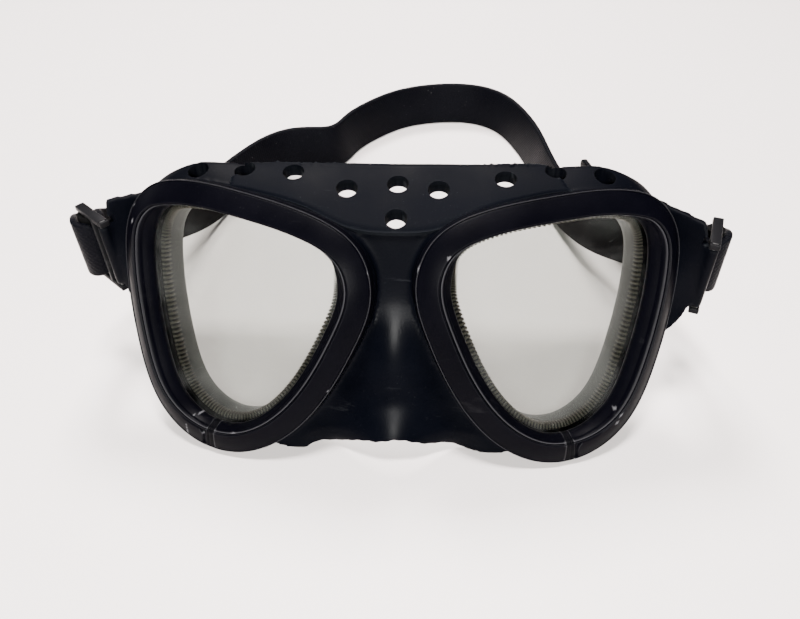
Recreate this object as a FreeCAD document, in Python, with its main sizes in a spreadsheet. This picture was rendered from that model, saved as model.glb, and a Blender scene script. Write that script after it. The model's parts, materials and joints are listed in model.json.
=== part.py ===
"""Twin-lens rubber goggles with split clamping rims, a vented brow strip and two swivelling buckles.

Frame: X to the wearer's left seen from the front, Y to the back of the head, Z up, millimetres.
The goggles stand on their lower rims, the nose cover's edge and the back of the strap.
A rim plane has its own axes: p outward from the nose, q up the leaning plane, w forward.
"""
import FreeCAD, Part
import math
import os

import Sketcher

V = FreeCAD.Vector
LEFT, RIGHT = -1, 1
SIDE_NAME = {LEFT: "left", RIGHT: "right"}

doc = FreeCAD.newDocument("goggles")
sheet = doc.addObject("Spreadsheet::Sheet", "sizes")

DIMENSIONS = {
    # rims and what they clamp
    "rim_lean": 30.0,
    "rim_wrap": 12.0,
    "rim_turn": -2.1,
    "crest_height": 3.5,
    "crest_land": 0.5,
    "rim_depth": 3.6,
    "rim_wall": 1.8,
    "rim_face": 2.2,
    "key_width": 3.3,
    "key_gap": 0.12,
    "lens_thickness": 3.0,
    "lens_lap": 1.6,
    "ring_depth": 3.2,
        "rib_pitch": 1.2,
    "rib_height": 0.5,
    "sleeve_depth": 8.0,
    "sleeve_wall": 1.2,
    "stack_gap": 0.05,
    # rubber
    "rubber": 2.2,
    "band_thickness": 1.4,
    "vent_radius": 3.25,
    "collar_flange": 3.3,
    "seal_lip": 1.6,
    # buckles
    "left_swing": 50.0,
    "right_swing": 19.0,
    "frame_height": 26.0,
    "frame_width": 3.0,
    "frame_arm": 1.8,
    "arm_front": 1.8,
    "arm_back": 13.4,
    "bar_front": 3.6,
    "bar_back": 5.1,
    "hinge_pin_radius": 0.9,
    "roller_pin_radius": 1.0,
    "roller_radius": 2.6,
    "roller_length": 21.0,
    "roller_reach": 11.0,
    "running_gap": 0.06,
    "tight_gap": 0.02,
    "arm_room": 3.6,
    "lug_radius": 1.7,
    "lug_height": 21.8,
    # strap
    "strap_width": 20.0,
    "strap_thickness": 2.2,
    "strap_lift": 0.25,
    "strap_drop": 0.8,
    "stub_reach": 24.0,
    "stub_gap": 0.3,
    "strap_lean": 3.0,
}
for row, (alias, value) in enumerate(DIMENSIONS.items(), start=1):
    sheet.set(f"A{row}", alias)
    sheet.set(f"B{row}", str(value))
    sheet.setAlias(f"B{row}", alias)
doc.recompute()


def size(alias):
    """A driving dimension, read back from the sheet."""
    return float(sheet.get(alias))


# Insets from a rim's outer edge, for edges that face the nose, the top, the bottom and outward.
CREST_INSET = (6.3, 7.1, 6.7, 4.3)
OPENING_INSET = (10.5, 7.6, 8.9, 9.0)
RING_INSET = (13.7, 9.0, 10.5, 10.4)    # the ribbed ring stands inward of the opening, most at the nose

# One rim's outer edge, counter-clockwise from its outer side, as (p, q).
RIM_EDGE = [
    (83.6, 50.0), (85.0, 66.0), (83.0, 79.0), (76.3, 86.8), (64.5, 89.2), (45.0, 86.6),
    (25.5, 81.8), (10.5, 72.8), (6.2, 60.0), (10.5, 44.5), (20.1, 26.6), (34.2, 12.0),
    (48.0, 6.5), (60.5, 8.0), (74.1, 18.9), (81.0, 36.5),
]
RIM_CENTRE = (48.0, 50.0)
EDGE_SAMPLES = 44
KEY_POINT = (57.0, 7.2)    # the split is where the rim edge comes nearest to this (p, q)
FLOOR = -1.5               # the height of the surface that the goggles stand on, before they are moved

# The buckle hinges: (x, y, height of the frame's middle).
HINGE = {LEFT: (-88.0, 50.5, 47.4), RIGHT: (92.0, 47.5, 45.0)}

# The hood from the middle outwards and down to the temple: front edge, rear edge.
HOOD_HALF = [
    ((0.0, 43.5, 61.6), (0.0, 69.0, 69.0)),
    ((13.0, 45.0, 61.9), (14.0, 69.0, 69.1)),
    ((25.0, 50.0, 64.8), (27.0, 68.8, 69.1)),
    ((43.0, 55.8, 66.8), (45.0, 68.5, 69.3)),
    ((58.0, 59.3, 67.8), (59.0, 69.3, 70.0)),
    ((70.5, 61.3, 65.8), (69.0, 69.3, 67.0)),
    ((78.9, 60.5, 60.0), (76.5, 69.3, 61.0)),
    ((82.0, 53.0, 47.5), (80.5, 66.0, 45.0)),
    ((80.8, 43.8, 31.0), (80.8, 56.0, 31.0)),
    ((78.5, 38.5, 21.0), (79.0, 46.0, 22.0)),
]
BAND_HALF = [
    ((0.0, 43.0, 63.0), (0.0, 68.5, 70.4)),
    ((13.0, 44.8, 63.3), (14.0, 68.5, 70.5)),
    ((25.0, 50.0, 66.2), (27.0, 68.3, 70.5)),
    ((36.0, 53.9, 67.6), (37.0, 68.0, 70.6)),
    ((48.0, 57.2, 68.6), (49.0, 67.9, 70.6)),
]
# The nose cover's front face at rising heights: half profiles from the rim to the ridge.
NOSE_SECTIONS = [
    (0.0, [(38.0, 17.5), (29.0, 15.8), (17.0, 18.0), (0.0, 10.4)]),
    (4.0, [(36.5, 18.2), (27.6, 17.8), (15.6, 17.6), (0.0, 12.2)]),
    (9.0, [(32.0, 19.6), (23.6, 20.5), (12.4, 18.8), (0.0, 15.2)]),
    (15.0, [(26.5, 22.0), (19.2, 23.2), (9.8, 20.8), (0.0, 18.3)]),
    (22.0, [(21.0, 25.5), (15.0, 26.5), (7.5, 24.2), (0.0, 21.8)]),
    (33.0, [(15.5, 30.0), (11.0, 31.0), (5.5, 30.0), (0.0, 28.5)]),
    (42.0, [(12.0, 34.5), (8.0, 35.5), (4.0, 35.8), (0.0, 35.8)]),
    (52.0, [(11.0, 39.5), (7.0, 40.0), (3.5, 40.2), (0.0, 40.2)]),
    (61.0, [(14.0, 45.5), (8.0, 44.2), (4.0, 43.7), (0.0, 43.7)]),
]
# The arch trimmed out of the nose cover's lower edge, as (x, z).
NOSE_ARCH = [(-21, -3), (-14, 3.4), (-9, 4.9), (9, 4.9), (14, 3.4), (21, -3)]
# The ear from its lower to its upper edge: root behind the rim, tip near the hinge.
EAR_STATIONS = {
    RIGHT: [
        ((77.0, 40.0, 20.0), (87.6, 44.2, 31.0)),
        ((79.0, 44.0, 28.0), (90.3, 46.2, 37.0)),
        ((80.0, 50.5, 44.0), (90.9, 46.9, 46.0)),
        ((79.0, 57.5, 56.0), (90.8, 47.8, 56.0)),
        ((76.0, 61.5, 63.0), (89.6, 51.0, 61.5)),
    ],
    LEFT: [
        ((77.0, 40.0, 20.0), (86.2, 48.0, 35.4)),
        ((79.0, 44.0, 28.0), (86.8, 49.3, 40.0)),
        ((80.0, 50.5, 44.0), (86.9, 50.0, 48.0)),
        ((79.0, 57.5, 56.0), (86.9, 51.0, 58.0)),
        ((76.0, 61.5, 63.0), (86.7, 53.2, 65.0)),
    ],
}
EAR_BACKWARD = V(0.3, 2.6, 0.0)

# The seal lip that hangs from the hood's rear edge at each temple: upper edge, lower edge.
LIP_HALF = [
    ((38.0, 69.0, 68.4), (38.0, 69.4, 60.5)),
    ((45.0, 68.9, 68.6), (45.0, 69.3, 60.0)),
    ((59.0, 69.2, 69.2), (58.0, 69.4, 60.5)),
    ((68.0, 69.2, 66.8), (66.0, 69.4, 58.5)),
    ((73.5, 69.2, 63.0), (70.5, 69.3, 56.0)),
]

VENTS = [
    (-31.0, 63.6), (-14.5, 58.1), (0.5, 60.0), (12.6, 58.1), (0.5, 47.5), (32.2, 61.5),
    (47.1, 65.1), (61.5, 64.5), (-60.5, 65.1), (-46.0, 64.6),
]

# The strap's middle line seen from above, with the height of its lower edge: (x, y, z).
MAIN_RUN = [
    (-100.8, 57.4, 36.2), (-102.5, 61.8, 34.6), (-101.9, 68.0, 31.2), (-98.5, 78.0, 25.6),
    (-94.5, 92.0, 19.2), (-91.0, 108.0, 12.0), (-87.6, 126.0, 4.2), (-83.2, 145.0, -0.6),
    (-77.0, 161.0, -1.4), (-72.0, 170.8, -1.4), (-65.8, 179.8, -1.4), (-59.0, 185.2, -1.4),
    (-51.5, 187.2, -1.4), (-44.5, 187.4, -1.4), (-38.2, 189.2, -1.4), (-33.8, 194.0, -1.4),
    (-30.8, 201.0, -1.4), (-27.0, 208.4, -1.4), (-20.8, 216.6, -1.4), (-7.5, 229.0, -1.4),
    (7.0, 235.0, -1.4), (21.0, 236.5, -1.4), (33.5, 233.5, -1.4), (42.5, 226.0, -1.4),
    (50.0, 211.5, -1.4), (55.2, 194.0, -1.4), (58.8, 171.0, -1.4), (62.5, 147.5, -0.3),
    (67.5, 127.5, 3.0), (74.8, 108.0, 8.5), (80.8, 96.5, 13.2), (86.6, 84.0, 19.4),
    (91.2, 73.3, 26.4), (93.3, 66.0, 31.4),
]
LEFT_TAIL = [
    (-95.6, 63.6, 35.6), (-95.7, 67.8, 33.0), (-92.9, 74.0, 29.2), (-88.5, 81.0, 24.8),
    (-84.4, 88.6, 20.4),
]
RIGHT_TAIL = [
    (100.4, 61.0, 33.0), (99.9, 67.3, 29.6), (96.4, 78.5, 23.9), (92.3, 91.0, 18.4),
    (88.6, 105.5, 13.0), (84.9, 121.5, 8.7), (81.6, 137.5, 5.4), (79.2, 150.0, 3.4),
    (77.9, 159.0, 2.4),
]
LEAN_FROM, LEAN_TO = 100.0, 150.0    # the strap leans outward more and more between these


# ---------------------------------------------------------------- shared geometry

def rim_placement(side):
    """The rim plane's frame: x along side * p, y along q, z forward out of the plane.

    Each rim has slipped round a little in the soft rubber, both the same way.
    """
    lean, wrap = math.radians(size("rim_lean")), math.radians(size("rim_wrap"))
    x_axis = V(math.cos(wrap), side * math.sin(wrap) * math.cos(lean),
               -side * math.sin(wrap) * math.sin(lean))
    y_axis = V(0, math.sin(lean), math.cos(lean))
    turn = FreeCAD.Rotation(x_axis, y_axis, x_axis.cross(y_axis), "XYZ")
    centre = V(side * RIM_CENTRE[0], RIM_CENTRE[1], 0)
    slipped = FreeCAD.Placement(V(0, 0, 0), FreeCAD.Rotation(V(0, 0, 1), size("rim_turn")), centre)
    return FreeCAD.Placement(V(0, 0, 0), turn).multiply(slipped)


def closed_spline(points):
    """A smooth closed curve through the points."""
    curve = Part.BSplineCurve()
    curve.interpolate(Points=points, PeriodicFlag=True)
    return curve


def edge_frame(share):
    """A point of the rim edge and its inward normal in (p, q), at a share of the way round."""
    curve = closed_spline([V(p, q, 0) for p, q in RIM_EDGE])
    first, last = curve.FirstParameter, curve.LastParameter
    parameter = first + share * (last - first)
    tangent = curve.tangent(parameter)[0]
    return curve.value(parameter), V(-tangent.y, tangent.x, 0)


EDGE_POINTS = [edge_frame(i / EDGE_SAMPLES) for i in range(EDGE_SAMPLES)]


def key_share():
    """The share of the way round the rim edge where it is split."""
    target = V(*KEY_POINT, 0)
    shares = [i / 1000 for i in range(1000)]
    return min(shares, key=lambda share: edge_frame(share)[0].distanceToPoint(target))


def inset_toward(inset, normal):
    """The inset where the edge's inward normal is this one; inset is one number or four."""
    if not isinstance(inset, tuple):
        return inset
    nose, top, bottom, outer = inset
    sideways = outer if normal.x < 0 else nose
    upright = top if normal.y < 0 else bottom
    return normal.x ** 2 * sideways + normal.y ** 2 * upright


def grown(inset, amount):
    """An inset made deeper all round by an amount."""
    return tuple(value + amount for value in inset)


def outline_curve(side, inset, height):
    """The rim edge moved inward by the inset, at a height over the rim plane."""
    points = []
    for place, normal in EDGE_POINTS:
        moved = place + normal * inset_toward(inset, normal)
        points.append(V(side * moved.x, moved.y, height))
    return closed_spline(points)


def outline_wire(side, inset, height):
    return Part.Wire([outline_curve(side, inset, height).toShape()])


def stack(side, levels):
    """A solid through (inset, height) levels, straight between them."""
    return Part.makeLoft([outline_wire(side, *level) for level in levels], True, True)


def through_points(points):
    """A smooth open curve through the points, with chord lengths as its parameters."""
    marks = [0.0]
    for a, b in zip(points, points[1:]):
        marks.append(marks[-1] + a.distanceToPoint(b))
    curve = Part.BSplineCurve()
    curve.interpolate(Points=points, Parameters=marks)
    return curve


def four_edge_solid(corners):
    """A bar whose four long edges run through the corner lists, all with the same station count."""
    edges = [through_points(points).toShape() for points in corners]
    faces = [Part.makeRuledSurface(edges[i], edges[(i + 1) % 4]) for i in range(4)]
    for end in (0, -1):
        ring = [points[end] for points in corners]
        faces.append(Part.Face(Part.makePolygon(ring + ring[:1])))
    solid = Part.Solid(Part.makeShell(faces))
    solid.fix(1e-4, 1e-4, 1e-4)
    return solid if solid.Volume > 0 else solid.reversed()


def mirrored(half):
    """Both sides of a list of stations that is given from the middle outwards."""
    flipped = [tuple((-x, y, z) for x, y, z in station) for station in half[:0:-1]]
    return flipped + half


def sheet_solid(stations, inner, outer):
    """A skin over (front, rear) stations, from an inner to an outer distance off that surface."""
    fronts = [V(*front) for front, rear in stations]
    rears = [V(*rear) for front, rear in stations]
    normals = []
    for i, (front, rear) in enumerate(zip(fronts, rears)):
        before, after = max(i - 1, 0), min(i + 1, len(fronts) - 1)
        along = (fronts[after] + rears[after]) - (fronts[before] + rears[before])
        normals.append(along.cross(rear - front).normalize())
    corners = [
        [f + n * inner for f, n in zip(fronts, normals)],
        [r + n * inner for r, n in zip(rears, normals)],
        [r + n * outer for r, n in zip(rears, normals)],
        [f + n * outer for f, n in zip(fronts, normals)],
    ]
    return four_edge_solid(corners)


def add_shape(label, shape, placement=None):
    """A sub-part whose shape no standard feature makes."""
    feature = doc.addObject("Part::Feature", label)
    feature.Label = label
    feature.Shape = shape
    if placement:
        feature.Placement = placement
    return feature


def new_body(label, placement):
    body = doc.addObject("PartDesign::Body", label)
    body.Label = label
    body.Placement = placement
    return body


def new_sketch(body, role, name, offset=None):
    """A sketch on one of the body's own origin planes."""
    plane = next(f for f in body.Origin.OriginFeatures if f.Role == role)
    sketch = body.newObject("Sketcher::SketchObject", name)
    sketch.AttachmentSupport = [(plane, "")]
    sketch.MapMode = "FlatFace"
    if offset:
        sketch.setExpression("AttachmentOffset.Base.z", offset)
    return sketch


def bind(sketch, constraint, rule):
    """A constraint whose value follows a rule about the sheet."""
    place = sketch.addConstraint(constraint)
    name = f"{constraint.Type}_{place}"
    sketch.renameConstraint(place, name)
    sketch.setExpression(f"Constraints.{name}", rule)


def add_circle(sketch, y_rule, radius_rule):
    """A circle on the sketch's Y axis; its height up the axis and its radius follow the sheet."""
    index = sketch.addGeometry(Part.Circle(V(0, 1, 0), V(0, 0, 1), 1.0), False)
    sketch.addConstraint(Sketcher.Constraint("PointOnObject", index, 3, -2))
    bind(sketch, Sketcher.Constraint("DistanceY", -1, 1, index, 3, 1.0), y_rule)
    bind(sketch, Sketcher.Constraint("Radius", index, 1.0), radius_rule)


def add_rectangle(sketch, low, high):
    """A rectangle from the corner that the low rules give to the one that the high rules give."""
    corners = [V(-1, -1, 0), V(1, -1, 0), V(1, 1, 0), V(-1, 1, 0)]
    lines = [sketch.addGeometry(Part.LineSegment(corners[i], corners[(i + 1) % 4]), False)
             for i in range(4)]
    for i in range(4):
        sketch.addConstraint(Sketcher.Constraint("Coincident", lines[i], 2, lines[(i + 1) % 4], 1))
        level = "Horizontal" if i % 2 == 0 else "Vertical"
        sketch.addConstraint(Sketcher.Constraint(level, lines[i]))
    for line, (x_rule, y_rule), start in ((lines[0], low, -1.0), (lines[2], high, 1.0)):
        bind(sketch, Sketcher.Constraint("DistanceX", -1, 1, line, 1, start), x_rule)
        bind(sketch, Sketcher.Constraint("DistanceY", -1, 1, line, 1, start), y_rule)


def pad(body, sketch, length_rule, reversed_way=False, both_ways=False):
    feature = body.newObject("PartDesign::Pad", "Pad")
    feature.Profile = sketch
    feature.setExpression("Length", length_rule)
    feature.Reversed = reversed_way
    feature.Midplane = both_ways
    sketch.Visibility = False
    return feature


# ---------------------------------------------------------------- rims, lenses and what is behind

def slot_block(side, width):
    """A block across the rim at its split, this wide along the edge."""
    place, normal = edge_frame(key_share())
    block = Part.makeBox(width, 20, 16, V(-width / 2, -5, -9))
    angle = math.degrees(math.atan2(normal.y, normal.x)) - 90
    block.rotate(V(0, 0, 0), V(0, 0, 1), angle)
    block.translate(place)
    if side == LEFT:
        block = block.mirror(V(0, 0, 0), V(1, 0, 0))
    return block


def whole_rim(side):
    """A rim before it is split: wall, sloping face, crest, inner slope, with a rebate behind."""
    crest, height, land = CREST_INSET, size("crest_height"), size("crest_land") / 2
    back, rise = size("rim_depth"), 1.0
    body = stack(side, [(0.0, -back), (0.0, 0.0), (0.5, 0.6), (grown(crest, -land), height)])
    inner_crest = grown(crest, land)
    drop = height + 0.6
    above = tuple(c + (c - o) * rise / drop for c, o in zip(inner_crest, OPENING_INSET))
    opening = stack(side, [(OPENING_INSET, -back - 1), (OPENING_INSET, -0.6), (above, height + rise)])
    recess = stack(side, [(size("rim_wall"), -back - 1), (size("rim_wall"), -size("rim_face"))])
    return body.cut(opening).cut(recess)


def make_rim(side):
    whole = whole_rim(side)
    rim = whole.cut(slot_block(side, size("key_width")))
    key = whole.common(slot_block(side, size("key_width") - 2 * size("key_gap")))
    placement = rim_placement(side)
    name = SIDE_NAME[side]
    return [add_shape(f"{name}_rim", rim, placement), add_shape(f"{name}_rim_key", key, placement)]


def make_lens(side):
    body = new_body(f"{SIDE_NAME[side]}_lens", rim_placement(side))
    sketch = new_sketch(body, "XY_Plane", "lens_outline", "-(sizes.rim_face + sizes.stack_gap)")
    inset = grown(OPENING_INSET, -size("lens_lap"))
    sketch.addGeometry(outline_curve(side, inset, 0), False)
    pad(body, sketch, "sizes.lens_thickness", reversed_way=True)
    return body


def make_sleeve(side):
    body = new_body(f"{SIDE_NAME[side]}_lens_sleeve", rim_placement(side))
    front = ("-(sizes.rim_face + 3 * sizes.stack_gap + sizes.lens_thickness"
             " + sizes.ring_depth)")
    sketch = new_sketch(body, "XY_Plane", "sleeve_outline", front)
    outer = grown(OPENING_INSET, -0.5)
    sketch.addGeometry(outline_curve(side, outer, 0), False)
    sketch.addGeometry(outline_curve(side, grown(outer, size("sleeve_wall")), 0), False)
    pad(body, sketch, "sizes.sleeve_depth", reversed_way=True)
    return body


def make_ribbed_ring(side):
    """A flat ring behind the lens with a row of small ribs round its inner wall."""
    front = -(size("rim_face") + 2 * size("stack_gap") + size("lens_thickness"))
    edge_length = outline_curve(side, RING_INSET, front).toShape().Length
    ribs = round(edge_length / size("rib_pitch"))
    teeth = []
    for i in range(2 * ribs):
        place, normal = edge_frame(i / (2 * ribs))
        depth = inset_toward(RING_INSET, normal) - (i % 2) * size("rib_height")
        moved = place + normal * depth
        teeth.append(V(side * moved.x, moved.y, front))
    outer_face = Part.Face(outline_wire(side, grown(OPENING_INSET, -0.5), front))
    ring = outer_face.cut(Part.Face(Part.makePolygon(teeth + teeth[:1])))
    solid = ring.extrude(V(0, 0, -size("ring_depth")))
    return add_shape(f"{SIDE_NAME[side]}_ribbed_ring", solid, rim_placement(side))


# ---------------------------------------------------------------- rubber facepiece

def placed(shape, placement):
    moved = shape.copy()
    moved.Placement = placement.multiply(moved.Placement)
    return moved


def collar(side):
    """The rubber round one lens: it fills the rim's rebate and holds the lens, ring and sleeve."""
    clear, lip, back = 0.1, 0.3, size("rim_depth") + size("tight_gap")
    wall = size("rim_wall") + clear
    front = stack(side, [(wall, -size("rim_face") - size("stack_gap")), (wall, -back - 0.4)])
    flange_end = -back - size("collar_flange")
    rear = stack(side, [(lip, -back), (lip, flange_end), (4.6, flange_end - 3), (5.2, -16.0)])
    tunnel = stack(side, [(grown(OPENING_INSET, -0.55), 1.0), (grown(OPENING_INSET, -0.55), -20.0)])
    seat = grown(OPENING_INSET, -size("lens_lap") - size("stack_gap"))
    rebate_end = -(size("rim_face") + size("lens_thickness") + 2 * size("stack_gap"))
    rebate = stack(side, [(seat, 1.0), (seat, rebate_end)])
    return placed(front.fuse(rear).cut(tunnel).cut(rebate), rim_placement(side))


def nose_section(level, half):
    """A closed horizontal slice of the nose cover."""
    front = [V(-x, y, level) for x, y in half[:-1]] + [V(x, y, level) for x, y in half[::-1]]
    back = [point + V(0, size("rubber"), 0) for point in front]
    edges = [
        through_points(front).toShape(),
        Part.makeLine(front[-1], back[-1]),
        through_points(back[::-1]).toShape(),
        Part.makeLine(back[0], front[0]),
    ]
    return Part.Wire(edges)


def nose_cover():
    return Part.makeLoft([nose_section(*section) for section in NOSE_SECTIONS], True, False)


def ear(side):
    """A rubber tab from behind the rim out to the hinge, with a bored lug at its end."""
    def flipped(point):
        return V(side * point[0], point[1], point[2])

    backward = V(side * EAR_BACKWARD.x, EAR_BACKWARD.y, EAR_BACKWARD.z)
    roots = [flipped(root) for root, tip in EAR_STATIONS[side]]
    tips = [flipped(tip) for root, tip in EAR_STATIONS[side]]
    tab = four_edge_solid([
        roots,
        tips,
        [tip + backward for tip in tips],
        [root + backward for root in roots],
    ])
    x, y, z = HINGE[side]
    height, radius = size("lug_height"), size("lug_radius")
    bottom = z - height / 2
    lug = Part.makeCylinder(radius, height, V(x, y, bottom))
    middle = tips[2] + backward * 0.5
    reach = math.hypot(middle.x - x, middle.y - y)
    web = Part.makeBox(reach, radius, height, V(0, -radius / 2, 0))
    web.rotate(V(0, 0, 0), V(0, 0, 1), math.degrees(math.atan2(middle.y - y, middle.x - x)))
    web.translate(V(x, y, bottom))
    return tab.fuse(lug).fuse(web)


def arm_room(side):
    """The room that a buckle's two arms need in the ear as they swing."""
    x, y, z = HINGE[side]
    clear = 0.2
    thick = size("frame_arm") + 2 * clear
    low = size("frame_height") / 2 - size("frame_arm") - clear
    levels = (low, -low - thick)
    return Part.makeCompound([Part.makeCylinder(size("arm_room"), thick, V(x, y, z + level)) for level in levels])


def seal_lips():
    """The short rubber lip under the hood's rear edge at both temples."""
    right = sheet_solid(LIP_HALF, -size("seal_lip"), 0.0)
    return [right, right.mirror(V(0, 0, 0), V(1, 0, 0))]


def nose_arch():
    """What is trimmed off the middle of the nose cover's lower edge."""
    front, depth = -5, 33
    corners = [V(x, front, z) for x, z in NOSE_ARCH]
    return Part.Face(Part.makePolygon(corners + corners[:1])).extrude(V(0, depth, 0))


def vent_holes():
    bores = [Part.makeCylinder(size("vent_radius"), 40, V(x, y, 50)) for x, y in VENTS]
    return Part.makeCompound(bores)


def make_facepiece():
    skin = sheet_solid(mirrored(HOOD_HALF), -size("rubber"), 0.0)
    for piece in [nose_cover().cut(nose_arch()), ear(LEFT), ear(RIGHT)] + seal_lips():
        skin = skin.fuse(piece)
    back = -size("rim_depth") - size("tight_gap")
    for side in (LEFT, RIGHT):
        in_front = stack(side, [(-0.12, back), (-0.12, 14.0)])
        tunnel = stack(side, [(grown(OPENING_INSET, -0.55), -1.0), (grown(OPENING_INSET, -0.55), -30.0)])
        skin = skin.cut(placed(in_front, rim_placement(side)))
        skin = skin.cut(placed(tunnel, rim_placement(side)))
    skin = skin.fuse(collar(LEFT)).fuse(collar(RIGHT)).cut(vent_holes())
    for side in (LEFT, RIGHT):
        x, y, z = HINGE[side]
        bore_radius = size("hinge_pin_radius") + size("tight_gap")
        skin = skin.cut(Part.makeCylinder(bore_radius, 40, V(x, y, z - 20))).cut(arm_room(side))
    below = Part.makeBox(300, 300, 30, V(-150, -50, FLOOR - 30))
    return add_shape("facepiece", skin.cut(below))


def make_brow_band(facepiece):
    """A separate strip bonded along the top of the hood; its vents line up with the hood's."""
    strip = sheet_solid(mirrored(BAND_HALF), -size("band_thickness") - 0.8, 0.0)
    back = -size("rim_depth") - size("tight_gap")
    for side in (LEFT, RIGHT):
        in_front = stack(side, [(-0.12, back), (-0.12, 14.0)])
        strip = strip.cut(placed(in_front, rim_placement(side)))
    strip = strip.cut(vent_holes()).cut(facepiece.Shape)
    biggest = max(strip.Solids, key=lambda solid: solid.Volume)
    return add_shape("brow_band", biggest)


# ---------------------------------------------------------------- buckles

def swing(side):
    """How far a buckle stands outward from straight back, as a turn about Z."""
    return -side * size(f"{SIDE_NAME[side]}_swing")


def buckle_placement(side):
    """The hinge line's frame: y along the buckle's arms, z up, at the middle of its height."""
    return FreeCAD.Placement(V(*HINGE[side]), FreeCAD.Rotation(V(0, 0, 1), swing(side)))


def make_frame(side):
    """Two arms and a cross bar: the hinge pin is in front of the bar and the roller behind it."""
    body = new_body(f"{SIDE_NAME[side]}_buckle_frame", buckle_placement(side))
    profile = new_sketch(body, "XY_Plane", "arm_outline")
    add_rectangle(profile, ("-sizes.frame_width / 2", "-sizes.arm_front"),
                  ("sizes.frame_width / 2", "sizes.arm_back"))
    arms = pad(body, profile, "sizes.frame_height", both_ways=True)
    windows = new_sketch(body, "YZ_Plane", "windows")
    half_window = "(sizes.frame_height / 2 - sizes.frame_arm)"
    add_rectangle(windows, ("-sizes.arm_front - 2", "-" + half_window),
                  ("sizes.bar_front", half_window))
    add_rectangle(windows, ("sizes.bar_back", "-" + half_window),
                  ("sizes.arm_back + 2", half_window))
    cut = body.newObject("PartDesign::Pocket", "window_cut")
    cut.Profile = windows
    cut.Type = 1
    cut.Midplane = True
    bores = new_sketch(body, "XY_Plane", "pin_bores")
    add_circle(bores, "0", "sizes.hinge_pin_radius + sizes.running_gap")
    add_circle(bores, "sizes.roller_reach", "sizes.roller_pin_radius + sizes.tight_gap")
    drill = body.newObject("PartDesign::Pocket", "pin_bore_cut")
    drill.Profile = bores
    drill.Type = 1
    drill.Midplane = True
    doc.recompute()
    uprights = [f"Edge{i + 1}" for i, edge in enumerate(drill.Shape.Edges)
                if is_arm_corner(edge)]
    rounding = body.newObject("PartDesign::Fillet", "arm_corners")
    rounding.Base = (drill, uprights)
    rounding.Radius = 0.6
    arms.Visibility = False
    return body


def is_arm_corner(edge):
    """Whether an edge is one of the upright outer corners of an arm, in the frame's own axes."""
    if edge.Curve.TypeId != "Part::GeomLine" or edge.Length > size("frame_arm") + 0.01:
        return False
    ends = [vertex.Point for vertex in edge.Vertexes]
    upright = abs(ends[0].x - ends[1].x) + abs(ends[0].y - ends[1].y) < 1e-6
    return upright


def make_round(label, side, y_rule, radius_rule, length_rule, bore_rule=None):
    """A pin or a roller that stands upright in a buckle."""
    body = new_body(label, buckle_placement(side))
    sketch = new_sketch(body, "XY_Plane", "circle")
    add_circle(sketch, y_rule, radius_rule)
    if bore_rule:
        add_circle(sketch, y_rule, bore_rule)
    pad(body, sketch, length_rule, both_ways=True)
    return body


def make_buckle(side):
    name = SIDE_NAME[side]
    pin_length = "sizes.frame_height - 0.4"
    roller = make_round(f"{name}_roller", side, "sizes.roller_reach", "sizes.roller_radius",
                        "sizes.roller_length", "sizes.roller_pin_radius + sizes.running_gap")
    hinge_pin = make_round(f"{name}_hinge_pin", side, "0", "sizes.hinge_pin_radius", pin_length)
    roller_pin = make_round(f"{name}_roller_pin", side, "sizes.roller_reach",
                            "sizes.roller_pin_radius", pin_length)
    return [make_frame(side), hinge_pin, roller, roller_pin]


# ---------------------------------------------------------------- strap

def roller_turn(side):
    """The strap's middle line round a roller, from its inner to its outer side."""
    placement = buckle_placement(side)
    radius = size("roller_radius") + size("strap_lift") + size("strap_thickness") / 2
    low = -size("strap_width") / 2 - size("strap_drop")
    points = []
    for step in range(7):
        angle = math.radians(30 * step)
        local = V(-side * radius * math.cos(angle), size("roller_reach") - radius * math.sin(angle), low)
        points.append(placement.multVec(local))
    return points


def strap_stations():
    """The whole strap's stations, from the left tail's end round both buckles to the right one's.

    The left tail is inside the main run and the right one is outside it.
    """
    left_turn = roller_turn(LEFT)
    right_turn = roller_turn(RIGHT)
    tail_in = [V(*point) for point in LEFT_TAIL[::-1]]
    tail_out = [V(*point) for point in RIGHT_TAIL]
    return tail_in + left_turn + [V(*point) for point in MAIN_RUN] + right_turn + tail_out


def lean_at(y):
    """How far the strap's upper edge stands outward of its lower edge."""
    share = min(max((y - LEAN_FROM) / (LEAN_TO - LEAN_FROM), 0), 1)
    return size("strap_lean") * share * share * (3 - 2 * share)


def strap_corners(line, mark):
    """The four corners of the strap's upright section at one place on its middle line."""
    place = line.value(mark)
    tangent = line.tangent(mark)[0]
    side_way = V(tangent.y, -tangent.x, 0).normalize()
    top_shift = V(0, 0, size("strap_width")) - side_way * lean_at(place.y)
    half = size("strap_thickness") / 2
    low = [place - side_way * half, place + side_way * half]
    return low + [low[1] + top_shift, low[0] + top_shift]


def strap_loft(line, marks):
    """A smooth solid through the strap's section at each of the marks."""
    sections = []
    for mark in marks:
        corners = strap_corners(line, mark)
        sections.append(Part.makePolygon(corners + corners[:1]))
    return Part.makeLoft(sections, True, False)


def left_tail(line):
    """The strap's short left end, up to where it would meet the part that swings with the buckle."""
    x, y, z = HINGE[LEFT]
    beyond = size("stub_reach") + size("stub_gap")
    count = 5
    last = line.getKnots()[len(LEFT_TAIL)]
    steps = [last * i / 200 for i in range(200)]
    clear = [
        mark for mark in steps
        if min(math.hypot(corner.x - x, corner.y - y) for corner in strap_corners(line, mark)) > beyond
    ]
    return strap_loft(line, [clear[-1] * i / (count - 1) for i in range(count)])


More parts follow.
